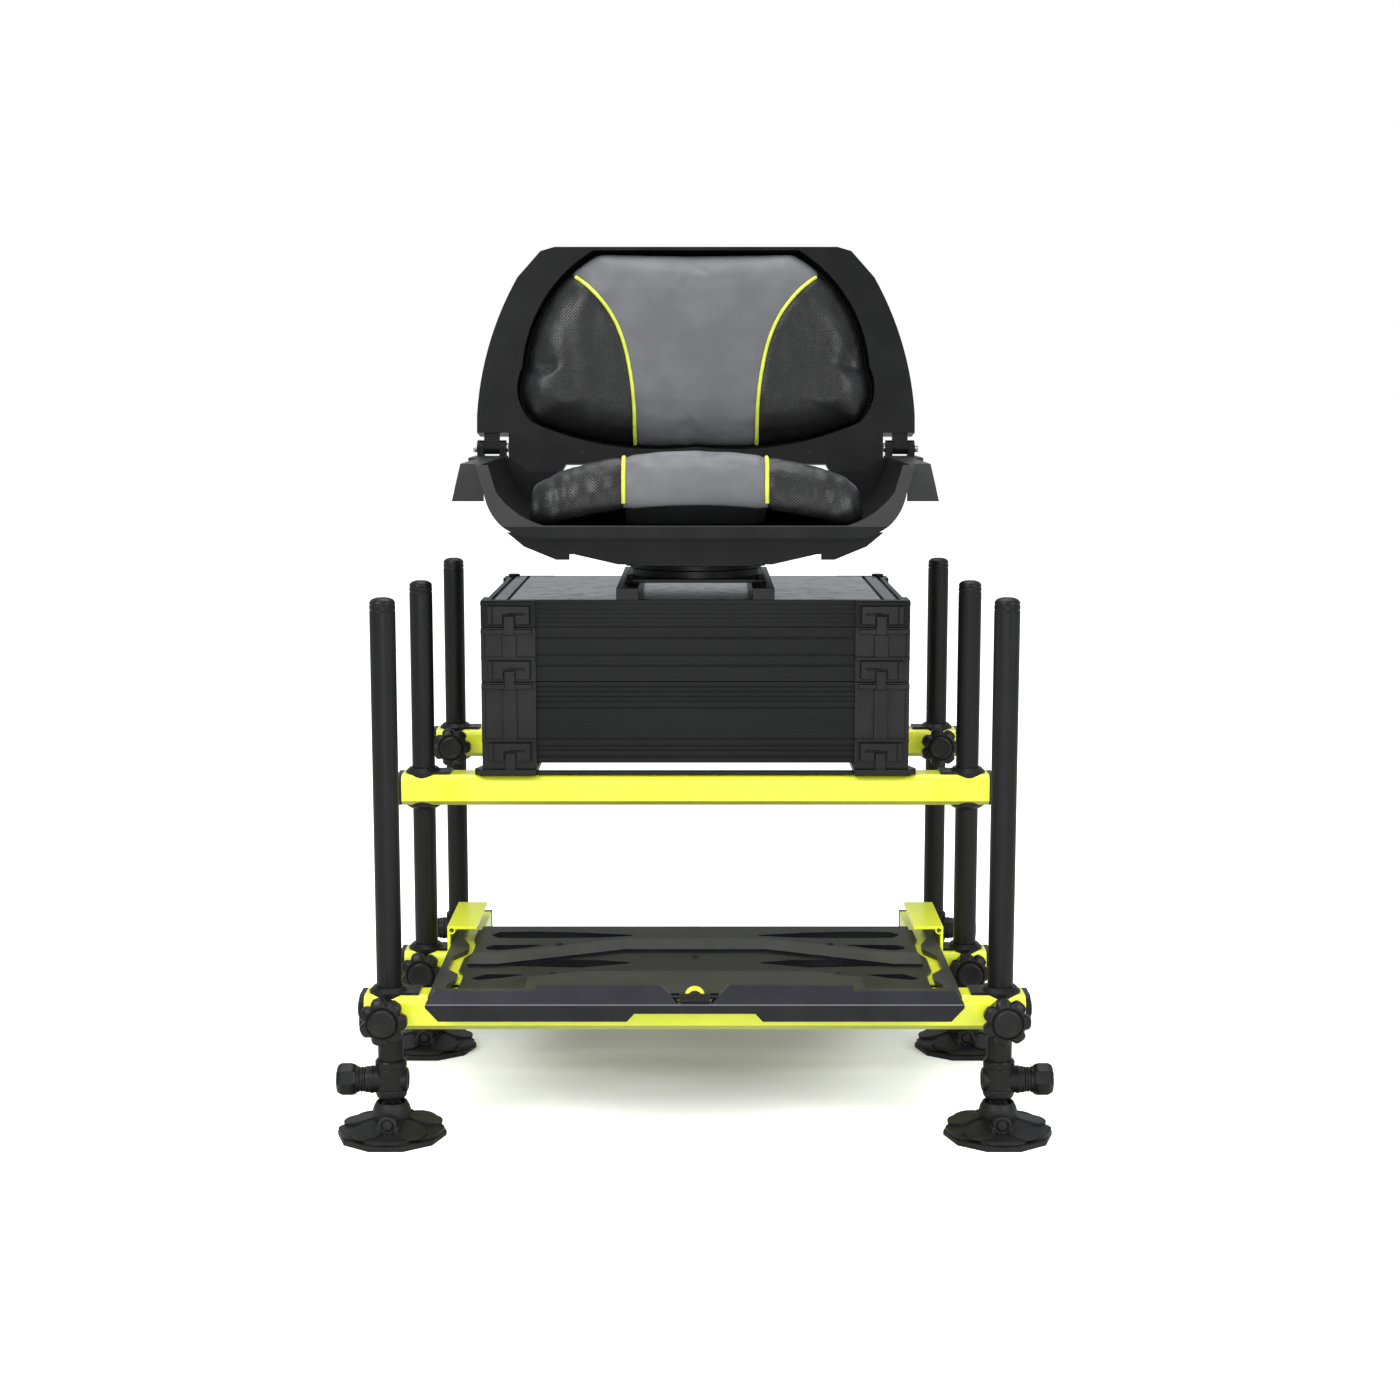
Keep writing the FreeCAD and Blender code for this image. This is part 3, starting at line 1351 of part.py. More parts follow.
save("middle_unit", [middle_unit()])
save("middle_corners", corner_set(middle_bottom, middle_height, middle_bottom))
save("lid_hinges", lid_hinges())
save("drawer", [drawer()])

save("lid_frame", [lid_frame()])
save("lid_panel", lid_panels())
save("swivel_base", swivel_base())

save("seat_pan", [seat_pan()])
save("swivel_plate", [swivel_plate()])
save("hinge_pins", hinge_pins())
save("seat_cushion", [seat_cushion()])
save("back_shell", [back_shell()])
save("back_cushion", [back_cushion()])

save("footplate_beam", [beam(front_y, footplate_beam_z, True)])
save("footplate_deck", [deck()])
save("footplate_fascia", [fascia()])
save("slide_rails", slide_rails())
save("side_mouldings", mouldings())
save("footplate_fittings", collars(front_y, footplate_beam_z, True) + end_caps(front_y, footplate_beam_z)
     + rail_caps())
save("footplate_catch", [catch()])

sides = {"left": -1, "right": 1}
for side, sign in sides.items():
    x = sign * leg_x
    save(f"leg_front_{side}", clamped_leg(x, front_y, front_leg_top))
    save(f"leg_middle_{side}", middle_leg(x, 0, rear_leg_top))
    save(f"leg_rear_{side}", clamped_leg(x, rear_y, rear_leg_top))
    save(f"foot_front_{side}", foot(x, front_y))
    save(f"foot_middle_{side}", foot(x, 0))
    save(f"foot_rear_{side}", foot(x, rear_y))
    save(f"inner_leg_front_{side}", [inner_leg(x, front_y)])
    save(f"inner_leg_rear_{side}", [inner_leg(x, rear_y)])
    save(f"tee_knob_front_{side}", [tee_knob(x, front_y)])
    save(f"tee_knob_rear_{side}", [tee_knob(x, rear_y)])
    save(f"clamp_knob_front_{side}", [clamp_knob(x, front_y, footplate_beam_z)])
    save(f"clamp_knob_middle_{side}", [clamp_knob(x, 0, lower_beam_z)])
    save(f"clamp_knob_rear_{side}", [clamp_knob(x, rear_y, upper_beam_z)])
    for row, bottom in {"lid": lid_bottom, "middle": middle_bottom, "deep": deep_bottom}.items():
        piece = latch(bottom)
        save(f"latch_{row}_{side}", [mirror(piece) if sign < 0 else piece])
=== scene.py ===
# %% [markdown]
# A fishing seat box: a tackle box on six clamped legs, with a padded bucket seat that turns, a folding
# backrest and a footplate that slides out in front. The measured model comes first and stays as it is. Every
# finish and every softer or finer shape is then made round it, so that each piece still sits where the real
# one would.

import json
import math

import bmesh
import bpy
from mathutils import Matrix, Vector, noise


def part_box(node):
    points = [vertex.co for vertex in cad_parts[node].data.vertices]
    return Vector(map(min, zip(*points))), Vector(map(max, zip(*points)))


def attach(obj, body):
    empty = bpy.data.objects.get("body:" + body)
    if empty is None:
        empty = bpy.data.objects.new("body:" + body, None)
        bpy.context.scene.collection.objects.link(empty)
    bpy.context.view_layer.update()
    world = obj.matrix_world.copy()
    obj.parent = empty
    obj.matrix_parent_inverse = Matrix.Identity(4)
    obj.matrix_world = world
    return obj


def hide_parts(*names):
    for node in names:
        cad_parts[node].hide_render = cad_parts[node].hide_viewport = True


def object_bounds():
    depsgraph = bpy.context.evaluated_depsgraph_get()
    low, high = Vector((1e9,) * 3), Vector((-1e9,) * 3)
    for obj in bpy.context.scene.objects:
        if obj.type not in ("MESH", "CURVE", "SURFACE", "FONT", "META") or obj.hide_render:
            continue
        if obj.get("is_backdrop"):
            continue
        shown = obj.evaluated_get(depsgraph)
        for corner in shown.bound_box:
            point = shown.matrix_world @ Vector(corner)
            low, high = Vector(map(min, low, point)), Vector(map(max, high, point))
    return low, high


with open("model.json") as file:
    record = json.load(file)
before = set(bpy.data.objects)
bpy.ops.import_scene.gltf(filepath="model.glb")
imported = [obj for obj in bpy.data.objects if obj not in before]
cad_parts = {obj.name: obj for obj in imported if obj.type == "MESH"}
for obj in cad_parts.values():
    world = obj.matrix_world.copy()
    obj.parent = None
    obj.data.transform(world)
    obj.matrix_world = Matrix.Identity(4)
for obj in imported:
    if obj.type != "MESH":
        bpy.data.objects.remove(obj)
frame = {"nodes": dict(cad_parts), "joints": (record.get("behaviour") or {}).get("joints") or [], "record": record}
cad_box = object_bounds()
MM = 0.001
nodes = frame["nodes"]
record = frame["record"]
body_of = {node: body for body, members in record["behaviour"]["bodies"].items() for node in members}
slot_of = {part["node"]: part["material_slot"] for part in record["subparts"]}
joint_at = {joint["name"]: joint for joint in frame["joints"]}

# %% [markdown]
# Shader maths is easier to read as sums. This class holds one socket, and its operators add Math nodes.
# Everything else comes from one method, which sets a node's settings first and then its inputs.

# %% A socket that can be added and multiplied
class Socket:
    def __init__(self, tree, port=None):
        self.tree, self.port = tree, port

    def node(self, kind, settings=None, inputs=None, output=0):
        made = self.tree.nodes.new("ShaderNode" + kind)
        for key, value in (settings or {}).items():
            setattr(made, key, value)
        for key, value in (inputs or {}).items():
            if isinstance(value, Socket):
                self.tree.links.new(value.port, made.inputs[key])
            else:
                made.inputs[key].default_value = value
        return Socket(self.tree, made.outputs[output])

    def math(self, operation, *values):
        return self.node("Math", {"operation": operation}, dict(enumerate(values)))

    def __add__(self, other): return self.math("ADD", self, other)
    def __radd__(self, other): return self.math("ADD", other, self)
    def __sub__(self, other): return self.math("SUBTRACT", self, other)
    def __rsub__(self, other): return self.math("SUBTRACT", other, self)
    def __mul__(self, other): return self.math("MULTIPLY", self, other)
    def __rmul__(self, other): return self.math("MULTIPLY", other, self)
    def __truediv__(self, other): return self.math("DIVIDE", self, other)

    def step(self, low, high):
        settings = {"interpolation_type": "SMOOTHSTEP"}
        return self.node("MapRange", settings, {"Value": self, "From Min": low, "From Max": high})

# %% [markdown]
# A finish starts from one Principled shader with its steady values set on its own sockets. The helper hands
# back the material, the shader and a socket with the object's own coordinates in metres, from which patterns
# are made.

# %% Start a finish
def finish(name, colour, roughness, **steady):
    material = bpy.data.materials.new(name)
    material.use_nodes = True
    tree = material.node_tree
    shader = tree.nodes["Principled BSDF"]
    shader.inputs["Base Color"].default_value = (*colour, 1.0)
    shader.inputs["Roughness"].default_value = roughness
    for key, value in steady.items():
        shader.inputs[key.replace("_", " ")].default_value = value
    place = Socket(tree).node("TexCoord", output="Object")
    return material, shader, place


def feed(shader, socket_name, value):
    value.tree.links.new(value.port, shader.inputs[socket_name])


def mix(a, b, factor):
    # Two colours, either of them a plain tuple or a socket
    a = (*a, 1.0) if isinstance(a, tuple) else a
    b = (*b, 1.0) if isinstance(b, tuple) else b
    return factor.node("Mix", {"data_type": "RGBA"}, {0: factor, 6: a, 7: b}, output=2)


def cloud(place, scale, detail=2.0, stretch=(1.0, 1.0, 1.0)):
    spot = place.node("Mapping", inputs={"Vector": place, "Scale": stretch})
    return place.node("TexNoise", inputs={"Vector": spot, "Scale": scale, "Detail": detail})


def bump(height, distance, strength=1.0):
    return height.node("Bump", inputs={"Height": height, "Distance": distance, "Strength": strength})


# %% [markdown]
# The beams are aluminium extrusions under a thick lime enamel. Real enamel is never quite flat: it has a
# faint orange peel, and its colour is a little deeper where the coat is thick. A clear coat gives the wet
# highlight.

# %% Lime enamel
def lime_enamel(name, deep, pale):
    material, shader, place = finish(name, deep, 0.32, Coat_Weight=0.55, Coat_Roughness=0.12)
    drift = cloud(place, 9.0, 3.0)
    feed(shader, "Base Color", mix(deep, pale, drift.step(0.3, 0.7)))
    scuff = cloud(place, 160.0, 4.0, (0.12, 1.0, 1.0)).step(0.60, 0.74)
    feed(shader, "Roughness", 0.30 + scuff * 0.18)
    peel = cloud(place, 420.0, 1.0)
    feed(shader, "Normal", bump(peel, 0.00004, 0.35))
    return material


# %% [markdown]
# The legs are drawn tubes with a satin black coat. Drawing leaves long faint streaks, so the noise is
# stretched along the tube, and it changes the roughness more than the colour.

# %% Satin black tube
def black_tube():
    material, shader, place = finish("black_tube", (0.008, 0.008, 0.009), 0.42, Specular_IOR_Level=0.22)
    streak = cloud(place, 260.0, 3.0, (1.0, 1.0, 0.02))
    wear = cloud(place, 30.0, 5.0).step(0.55, 0.72)
    tone = streak.step(0.45, 0.8) * 0.6 + wear * 0.25
    feed(shader, "Base Color", mix((0.006, 0.006, 0.0065), (0.015, 0.015, 0.016), tone))
    feed(shader, "Roughness", 0.38 + streak * 0.12 + wear * 0.08)
    feed(shader, "Normal", bump(streak, 0.00002, 0.5))
    return material


# %% [markdown]
# The castings, collars and knobs are glass-filled nylon from a spark-eroded mould, which leaves a fine even grain.
# A second, larger noise keeps the big faces from looking like one flat grey. The two fascia finishes also get a
# thin pale line at the height of the fascia's crease: a painted highlight, where the crease would catch the light.

# %% Moulded black plastic
FASCIA_CREASE = 150.0
# The colour of a thin pale line along the fascia's crease: a painted highlight
PAINTED_CREASE_HIGHLIGHT = (0.15, 0.15, 0.17)


def moulded(name, dark, pale, roughness, shine, grain_scale=900.0, grain_height=0.00004, painted_highlight_height=None):
    material, shader, place = finish(name, dark, roughness, Specular_IOR_Level=shine)
    drift = cloud(place, 24.0, 4.0).step(0.3, 0.75)
    colour = mix(dark, pale, drift)
    # The painted highlight: a thin pale line at the crease's height
    if painted_highlight_height:
        above = place.node("SeparateXYZ", inputs={0: place}, output=2) - painted_highlight_height * MM
        colour = mix(PAINTED_CREASE_HIGHLIGHT, colour, above.math("ABSOLUTE", above).step(0.0003, 0.0008))
    feed(shader, "Base Color", colour)
    grain = cloud(place, grain_scale, 2.0)
    feed(shader, "Roughness", roughness - 0.06 + grain * 0.12)
    feed(shader, "Normal", bump(grain, grain_height, 0.6))
    return material


# %% [markdown]
# The box sides are black anodised extrusions. Besides the deep grooves that are in the shape, the die leaves
# fine level lines, which a noise gives when it is stretched along the side.

# %% Black anodised extrusion
def anodised():
    material, shader, place = finish("black_anodised", (0.005, 0.005, 0.006), 0.34, Specular_IOR_Level=0.14)
    drift = cloud(place, 14.0, 3.0, (0.3, 1.0, 1.0)).step(0.3, 0.75)
    feed(shader, "Base Color", mix((0.0035, 0.0035, 0.004), (0.007, 0.007, 0.008), drift))
    lines = cloud(place, 520.0, 1.0, (0.004, 0.004, 1.0))
    feed(shader, "Roughness", 0.28 + lines * 0.12)
    feed(shader, "Normal", bump(lines, 0.00012, 0.9))
    return material


# %% [markdown]
# The lid has a smooth dark grey panel between two paler trims. They are one node, so the finish tells them
# apart by their distance from the middle of the lid. Fine dust dulls the gloss in patches.

# %% Lid panel and its trims
TRIM_START = 0.2030


def lid_finish():
    material, shader, place = finish("grey_panel", (0.06, 0.058, 0.06), 0.22, Coat_Weight=0.3,
                                     Coat_Roughness=0.1)
    side = place.node("SeparateXYZ", inputs={0: place}, output=0)
    across = side.math("ABSOLUTE", side)
    trim = across.step(TRIM_START, TRIM_START + 0.0006)
    dust = cloud(place, 60.0, 6.0).step(0.4, 0.8)
    panel = mix((0.030, 0.026, 0.027), (0.044, 0.039, 0.040), dust)
    feed(shader, "Base Color", mix(panel, (0.16, 0.16, 0.16), trim))
    feed(shader, "Roughness", 0.20 + dust * 0.12 + trim * 0.2)
    return material


# %% [markdown]
# The pads are covered in synthetic leather. Its grain is a net of small cells with creases between them,
# which a Voronoi texture's distance to the cell's edge gives. The dark sides are punched all over with fine
# holes.

# %% Synthetic leather
HOLE_PITCH = 4.0 * MM
HOLE_COLOUR = (0.001, 0.001, 0.001)


def leather(name, dark, pale, roughness, shine, punched_sides=False):
    material, shader, place = finish(name, dark, roughness, Specular_IOR_Level=shine)
    cells = place.node("TexVoronoi", {"feature": "DISTANCE_TO_EDGE"}, {"Vector": place, "Scale": 620.0})
    grain = cells.step(0.0, 0.25)
    drift = cloud(place, 26.0, 4.0).step(0.3, 0.75)
    colour = mix(dark, pale, drift)
    height = grain
    rough = roughness + (1.0 - grain) * 0.1
    if punched_sides:
        punched = hole_pattern(place)
        colour = mix(colour, HOLE_COLOUR, punched)
        height = grain * 0.25 + (1.0 - punched)
        rough = rough + punched * 0.4
    feed(shader, "Base Color", colour)
    feed(shader, "Roughness", rough)
    feed(shader, "Normal", bump(height, 0.0003 if punched_sides else 0.00006, 0.8))
    return material


def hole_pattern(place):
    # Round holes in staggered rows, on the cover's own map, which is in metres. They stop short of the pad's
    # edges.
    spot = place.node("UVMap", {"uv_map": "cover"})
    across, up = [place.node("SeparateXYZ", inputs={0: spot}, output=axis) for axis in (0, 1)]
    rising = (across + up) / HOLE_PITCH
    falling = (across - up) / HOLE_PITCH
    rising = rising.math("FRACT", rising) - 0.5
    falling = falling.math("FRACT", falling) - 0.5
    square = rising * rising + falling * falling
    inside = place.node("Attribute", {"attribute_name": "inland"}, output=2)
    return (1.0 - square.step(0.045, 0.11)) * inside


# %% [markdown]
# The last finishes are plain ones: the zinc plate on the hinge pins and the vinyl of the lime piping. Even
# these get a little noise, so that they don't read as flat colour.

# %% Plated steel and piping
def plated():
    material, shader, place = finish("plated_steel", (0.62, 0.62, 0.61), 0.28, Metallic=1.0)
    tarnish = cloud(place, 300.0, 3.0).step(0.4, 0.75)
    feed(shader, "Base Color", mix((0.66, 0.66, 0.65), (0.42, 0.41, 0.39), tarnish))
    feed(shader, "Roughness", 0.24 + tarnish * 0.2)
    return material


def piping_vinyl():
    material, shader, place = finish("lime_piping", (0.62, 0.70, 0.06), 0.45)
    drift = cloud(place, 90.0, 3.0).step(0.3, 0.7)
    feed(shader, "Base Color", mix((0.56, 0.64, 0.05), (0.70, 0.77, 0.10), drift))
    feed(shader, "Normal", bump(cloud(place, 900.0, 1.0), 0.00005, 0.6))
    return material


# %% [markdown]
# Every finish is made once and kept under its name. The plastics share one recipe, and differ in how dark, how
# smooth and how coarse they are: satin on the castings, matt on the feet, paler on the deck's raised bands. Some
# finishes are lit and shaded copies of one: a paler copy on the seat's wings and the fascia's upper face is
# painted light, and a darker copy on the fascia's lower face and a darker lime on faces that point down are
# painted shade.

# %% All the finishes
finishes = {
    "lime_enamel": lime_enamel("lime_enamel", (0.80, 0.90, 0.022), (0.92, 0.97, 0.045)),
    # A darker copy of the enamel for faces that point down: painted shade
    "lime_under": lime_enamel("lime_under", (0.36, 0.40, 0.075), (0.44, 0.48, 0.095)),
    "black_tube": black_tube(),
    "black_plastic": moulded("black_plastic", (0.006, 0.006, 0.0065), (0.012, 0.012, 0.0125), 0.36, 0.22),
    "foot_plastic": moulded("foot_plastic", (0.009, 0.009, 0.0095), (0.018, 0.018, 0.0185), 0.50, 0.24,
                            700.0, 0.00006),
    "deck_plastic": moulded("deck_plastic", (0.0045, 0.0045, 0.0065), (0.0090, 0.0090, 0.0125), 0.34, 0.18,
                            500.0, 0.00005),
    "deck_band": moulded("deck_band", (0.017, 0.017, 0.0215), (0.026, 0.026, 0.0315), 0.32, 0.25,
                         500.0, 0.00005),
    # The fascia's upper face, which leans back, gets a paler copy of one plastic and its lower face a darker one:
    # painted light and painted shade
    "fascia_upper": moulded("fascia_upper", (0.017, 0.0165, 0.022), (0.023, 0.022, 0.029), 0.34, 0.2,
                            painted_highlight_height=FASCIA_CREASE),
    "fascia_lower": moulded("fascia_lower", (0.012, 0.012, 0.015), (0.017, 0.017, 0.020), 0.38, 0.16,
                            painted_highlight_height=FASCIA_CREASE),
    "seat_plastic": moulded("seat_plastic", (0.0045, 0.0045, 0.005), (0.009, 0.009, 0.0095), 0.42, 0.15,
                            1200.0, 0.00003),
    # A paler, glossier copy of the seat's plastic for its wings: painted light
    "wing_plastic": moulded("wing_plastic", (0.014, 0.014, 0.0145), (0.022, 0.022, 0.0225), 0.36, 0.3,
                            1200.0, 0.00003),
    "black_anodised": anodised(),
    "grey_panel": lid_finish(),
    "grey_leather": leather("grey_leather", (0.112, 0.113, 0.122), (0.140, 0.141, 0.152), 0.40, 0.36),
    "punched_leather": leather("punched_leather", (0.006, 0.006, 0.0065), (0.012, 0.012, 0.0125), 0.25, 0.46,
                               punched_sides=True),
    "steel": plated(),
    "lime_piping": piping_vinyl(),
}
print(len(finishes), "finishes")

# %% [markdown]
# The measured pieces have knife edges, which no real piece has: an edge without a small round catches no
# light. In a copy of each, the triangles of a flat face are merged and the sharp edges get a small bevel. The
# copy then stands for the node. Weighted normals keep the large faces flat beside the bevels.

# %% Copies with softened edges
def add(name, mesh, body, materials, replaced=()):
    piece = bpy.data.objects.new(name, mesh)
    bpy.context.scene.collection.objects.link(piece)
    for material in materials:
        mesh.materials.append(finishes[material])
    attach(piece, body)
    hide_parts(*replaced)
    return piece


def stand_in(node, ending, shape, materials):
    # A new piece that replaces one node, on that node's body and with its slot
    return add(node + ending, to_mesh(node, shape), body_of[node], materials, [node])


def merged(node):
    shape = bmesh.new()
    shape.from_mesh(nodes[node].data)
    bmesh.ops.remove_doubles(shape, verts=shape.verts, dist=0.01 * MM)
    bmesh.ops.dissolve_limit(shape, angle_limit=math.radians(0.4), verts=shape.verts, edges=shape.edges)
    return shape


def to_mesh(name, shape):
    mesh = bpy.data.meshes.new(name)
    for face in shape.faces:
        face.smooth = True
    shape.to_mesh(mesh)
    shape.free()
    return mesh


def softened(node, width, materials, pick=None):
    shape = merged(node)
    if pick:
        for face in shape.faces:
            face.material_index = pick(face.calc_center_median(), face.normal)
    sharpen(stand_in(node, "_finished", shape, materials), 32, width)


def sharpen(piece, angle, width):
    edge = piece.modifiers.new("edge", "BEVEL")
    edge.width = width * MM
    edge.segments = 2
    edge.limit_method = "ANGLE"
    edge.angle_limit = math.radians(angle)
    normals = piece.modifiers.new("normals", "WEIGHTED_NORMAL")
    normals.keep_sharp = True


# %% [markdown]
# Each slot of the record has its finish, and each kind of piece its own edge: thin on the extruded box sides,
# fuller on the blow-moulded seat. Some nodes have two finishes, and a small test on a face's place or
# direction picks one of them.

# %% Soften and finish the rigid pieces
EDGE = {"lime_enamel": 0.5, "black_tube": 0.4, "black_plastic": 0.6, "black_anodised": 0.35,
        "grey_panel": 0.3, "seat_plastic": 1.6, "steel": 0.3}
TURNED = ("foot_", "clamp_knob", "tee_knob", "leg_")
BOLTS_ABOVE, BOLTS_BESIDE, BOLTS_BEFORE = 523.5, 64.0, 100.0
CATCH_ARC_ABOVE = 160.3
WINGS_BESIDE, WINGS_BEFORE = 237.5, 230.0
DECK_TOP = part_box("footplate_deck")[1].z / MM - 2.0
remade = {"seat_cushion", "back_cushion"} | {node for node in nodes if node.startswith(TURNED)}


def bolt_or_plate(centre, normal):
    spot = centre / MM
    return 1 if spot.z > BOLTS_ABOVE and abs(spot.x) > BOLTS_BESIDE and spot.y < BOLTS_BEFORE else 0


def arc_or_lever(centre, normal):
    return 1 if centre.z > CATCH_ARC_ABOVE * MM else 0


def painted_shade_underside(centre, normal):
    # Faces that point down get a darker copy of the enamel: painted shade
    return 1 if normal.z < -0.4 else 0


def band_or_plate(centre, normal):
    # The raised bands are paler than the plate between them
    return 1 if centre.z > (DECK_TOP + 1.6) * MM else 0


def painted_light_wing_or_pan(centre, normal):
    # The wings get a paler, glossier copy of the seat's plastic: painted light, where they catch more of the lamps
    return 1 if abs(centre.x) > WINGS_BESIDE * MM and centre.y < WINGS_BEFORE * MM else 0


def painted_light_above_crease(centre, normal):
    # Faces above the crease get the paler copy, painted light; those below get the darker one, painted shade
    return 1 if centre.z > FASCIA_CREASE * MM and normal.z > -0.5 else 0


PICKED = {"swivel_base": (0.6, ["black_plastic", "black_tube"], bolt_or_plate),
          "footplate_catch": (0.3, ["black_plastic", "lime_enamel"], arc_or_lever),
          "footplate_deck": (0.5, ["deck_plastic", "deck_band"], band_or_plate),
          # The seat's wings get the paler copy: painted light
          "seat_pan": (1.2, ["seat_plastic", "wing_plastic"], painted_light_wing_or_pan),
          # The fascia: painted light above the crease, painted shade below it
          "footplate_fascia": (0.6, ["fascia_lower", "fascia_upper"], painted_light_above_crease),
          # The channels and the beams get painted shade, a darker enamel, on faces that point down
          "footplate_channels": (0.25, ["lime_enamel", "lime_under"], painted_shade_underside)}
PICKED |= {node: (0.5, ["lime_enamel", "lime_under"], painted_shade_underside) for node in nodes if node.endswith("_beam")}

for node in sorted(set(nodes) - remade):
    slot = slot_of[node]
    if node in PICKED:
        width, materials, pick = PICKED[node]
        softened(node, width, materials, pick)
    else:
        softened(node, EDGE[slot], ["deck_band" if node == "side_mouldings" else slot])
print(len(nodes) - len(remade), "rigid pieces softened")

# %% [markdown]
# Knobs, tubes, caps and tees are round, so each is turned: one ring of points is pushed along the axis step
# by step, and each step names its height and radius. A knob also names how strongly its finger valleys show
# there.

# %% Turned pieces
def turned(rings, segments, valleys=0, depth=0.0):
    shape = bmesh.new()
    circle = bmesh.ops.create_circle(shape, segments=segments, radius=1.0)
    edges = list({edge for vert in circle["verts"] for edge in vert.link_edges})
    for number, (height, radius, *strength) in enumerate(rings):
        if number:
            grown = bmesh.ops.extrude_edge_only(shape, edges=edges)["geom"]
            edges = [part for part in grown if isinstance(part, bmesh.types.BMEdge)]
        for vert in {vert for edge in edges for vert in edge.verts}:
            turn = math.atan2(vert.co.y, vert.co.x)
            reach = radius
            if strength:
                gap = abs((turn * valleys / math.tau) % 1.0 - 0.5) * math.tau / valleys
                reach -= depth * strength[0] * math.exp(-((gap / 0.15) ** 2))
            vert.co = Vector((reach * math.cos(turn), reach * math.sin(turn), height)) * MM
    bmesh.ops.contextual_create(shape, geom=edges)
    bmesh.ops.recalc_face_normals(shape, faces=shape.faces)
    return shape


def join(shape, other, slot=0):
    # Adds a second bmesh to the first, with one of the piece's finishes
    for face in other.faces:
        face.material_index = slot
    mesh = bpy.data.meshes.new("part")
    other.to_mesh(mesh)
    other.free()
    shape.from_mesh(mesh)
    bpy.data.meshes.remove(mesh)


def pointed(shape, along, place):
    # Turns a shape from +Z to another direction and moves it, in mm
    aim = Vector((0, 0, 1)).rotation_difference(Vector(along)).to_matrix().to_4x4()
    shape.transform(Matrix.Translation(Vector(place) * MM) @ aim)
    return shape


KNOB_RINGS = [(0.0, 9.0), (0.0, 12.0), (1.0, 12.6), (4.0, 15.0, 0.3), (6.5, 19.5, 0.8), (9.0, 22.8, 1.0),
              (10.2, 23.4, 1.0), (17.0, 23.4, 1.0), (18.6, 22.2, 1.0), (20.3, 18.8, 0.7), (21.2, 16.9, 0.2),
              (21.2, 15.6), (19.6, 15.0), (19.6, 14.2), (22.6, 13.6), (23.6, 12.6), (24.0, 11.0), (23.2, 9.4),
              (23.2, 0.4)]


def clamp_knob(node):
    low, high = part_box(node)
    hinge = Vector(joint_at[body_of[node] + "_turn"]["pos_m"])
    shape = turned(KNOB_RINGS, 112, 7, 4.6)
    pointed(shape, (0, -1, 0), (hinge.x / MM, low.y / MM + 24.4, hinge.z / MM))
    sharpen(stand_in(node, "_moulded", shape, ["black_plastic"]), 34, 0.4)


TEE_RINGS = [(40.0, 12.6), (40.0, 13.6), (41.6, 14.8), (44.0, 15.5), (48.0, 15.5), (48.4, 15.0), (49.4, 15.0),
             (49.8, 15.5), (69.6, 15.5), (70.0, 15.0), (71.0, 15.0), (71.4, 15.5), (76.6, 15.5), (78.5, 14.2),
             (78.5, 12.0)]
ARM_RINGS = [(4.0, 13.0), (16.6, 13.0), (17.0, 13.6), (20.0, 13.6), (20.4, 13.0), (24.2, 13.0), (25.0, 12.2),
             (25.0, 9.0)]
KNUCKLE_RINGS = [(4.0, 12.2), (14.6, 12.2), (16.2, 11.2), (17.0, 9.4), (17.0, 7.0), (16.0, 6.4), (16.0, 0.4)]
CAP_RINGS = [(-13.5, 12.0), (-13.5, 12.5), (-12.9, 12.5), (-12.5, 12.0), (-11.7, 12.0), (-11.3, 12.5),
             (-7.6, 12.5), (-7.2, 12.0), (-6.4, 12.0), (-6.0, 12.5), (-4.8, 12.4), (-3.2, 11.7), (-1.7, 10.2),
             (-0.6, 8.0), (0.0, 5.6), (-0.9, 4.8), (-0.9, 0.4)]
COLLAR_RINGS = [(34.0, 10.5), (34.0, 11.6), (36.0, 12.5), (45.0, 12.5)]
TEE_HEIGHT = 57.5
LEG_X = 300.0
CAP_LENGTH = 13.5
BALL_HEIGHT, BALL_RADIUS = 24.0, 13.5


def leg(node):
    low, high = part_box(node)
    outward = math.copysign(1, low.x + high.x)
    x, y = outward * LEG_X, (low.y + high.y) / 2 / MM
    top = high.z / MM
    is_middle = "middle" in node
    start = 30 if is_middle else 40.5
    end = top - CAP_LENGTH
    shape = turned([(start, 11.0), (start, 12.5), (end, 12.5), (end, 11.0)], 64)
    cap = turned(CAP_RINGS, 64)
    cap.transform(Matrix.Translation((0, 0, top * MM)))
    join(shape, cap, 1)
    if is_middle:
        join(shape, turned(ball_rings(BALL_HEIGHT, BALL_RADIUS) + COLLAR_RINGS, 48), 1)
    else:
        join(shape, turned(TEE_RINGS, 64), 1)
        join(shape, pointed(turned(ARM_RINGS, 48), (outward, 0, 0), (0, 0, TEE_HEIGHT)), 1)
        join(shape, pointed(turned(KNUCKLE_RINGS, 48), (-outward, 0, 0), (0, 0, TEE_HEIGHT)), 1)
    shape.transform(Matrix.Translation((x * MM, y * MM, 0)))
    sharpen(stand_in(node, "_drawn", shape, ["black_tube", "black_plastic"]), 34, 0.3)


def ball_rings(height, radius):
    # Rings of a ball that is open at the top, where its neck goes on
    turns = [math.radians(-88 + step * 11) for step in range(13)]
    return [(height + radius * math.sin(turn), radius * math.cos(turn)) for turn in turns]


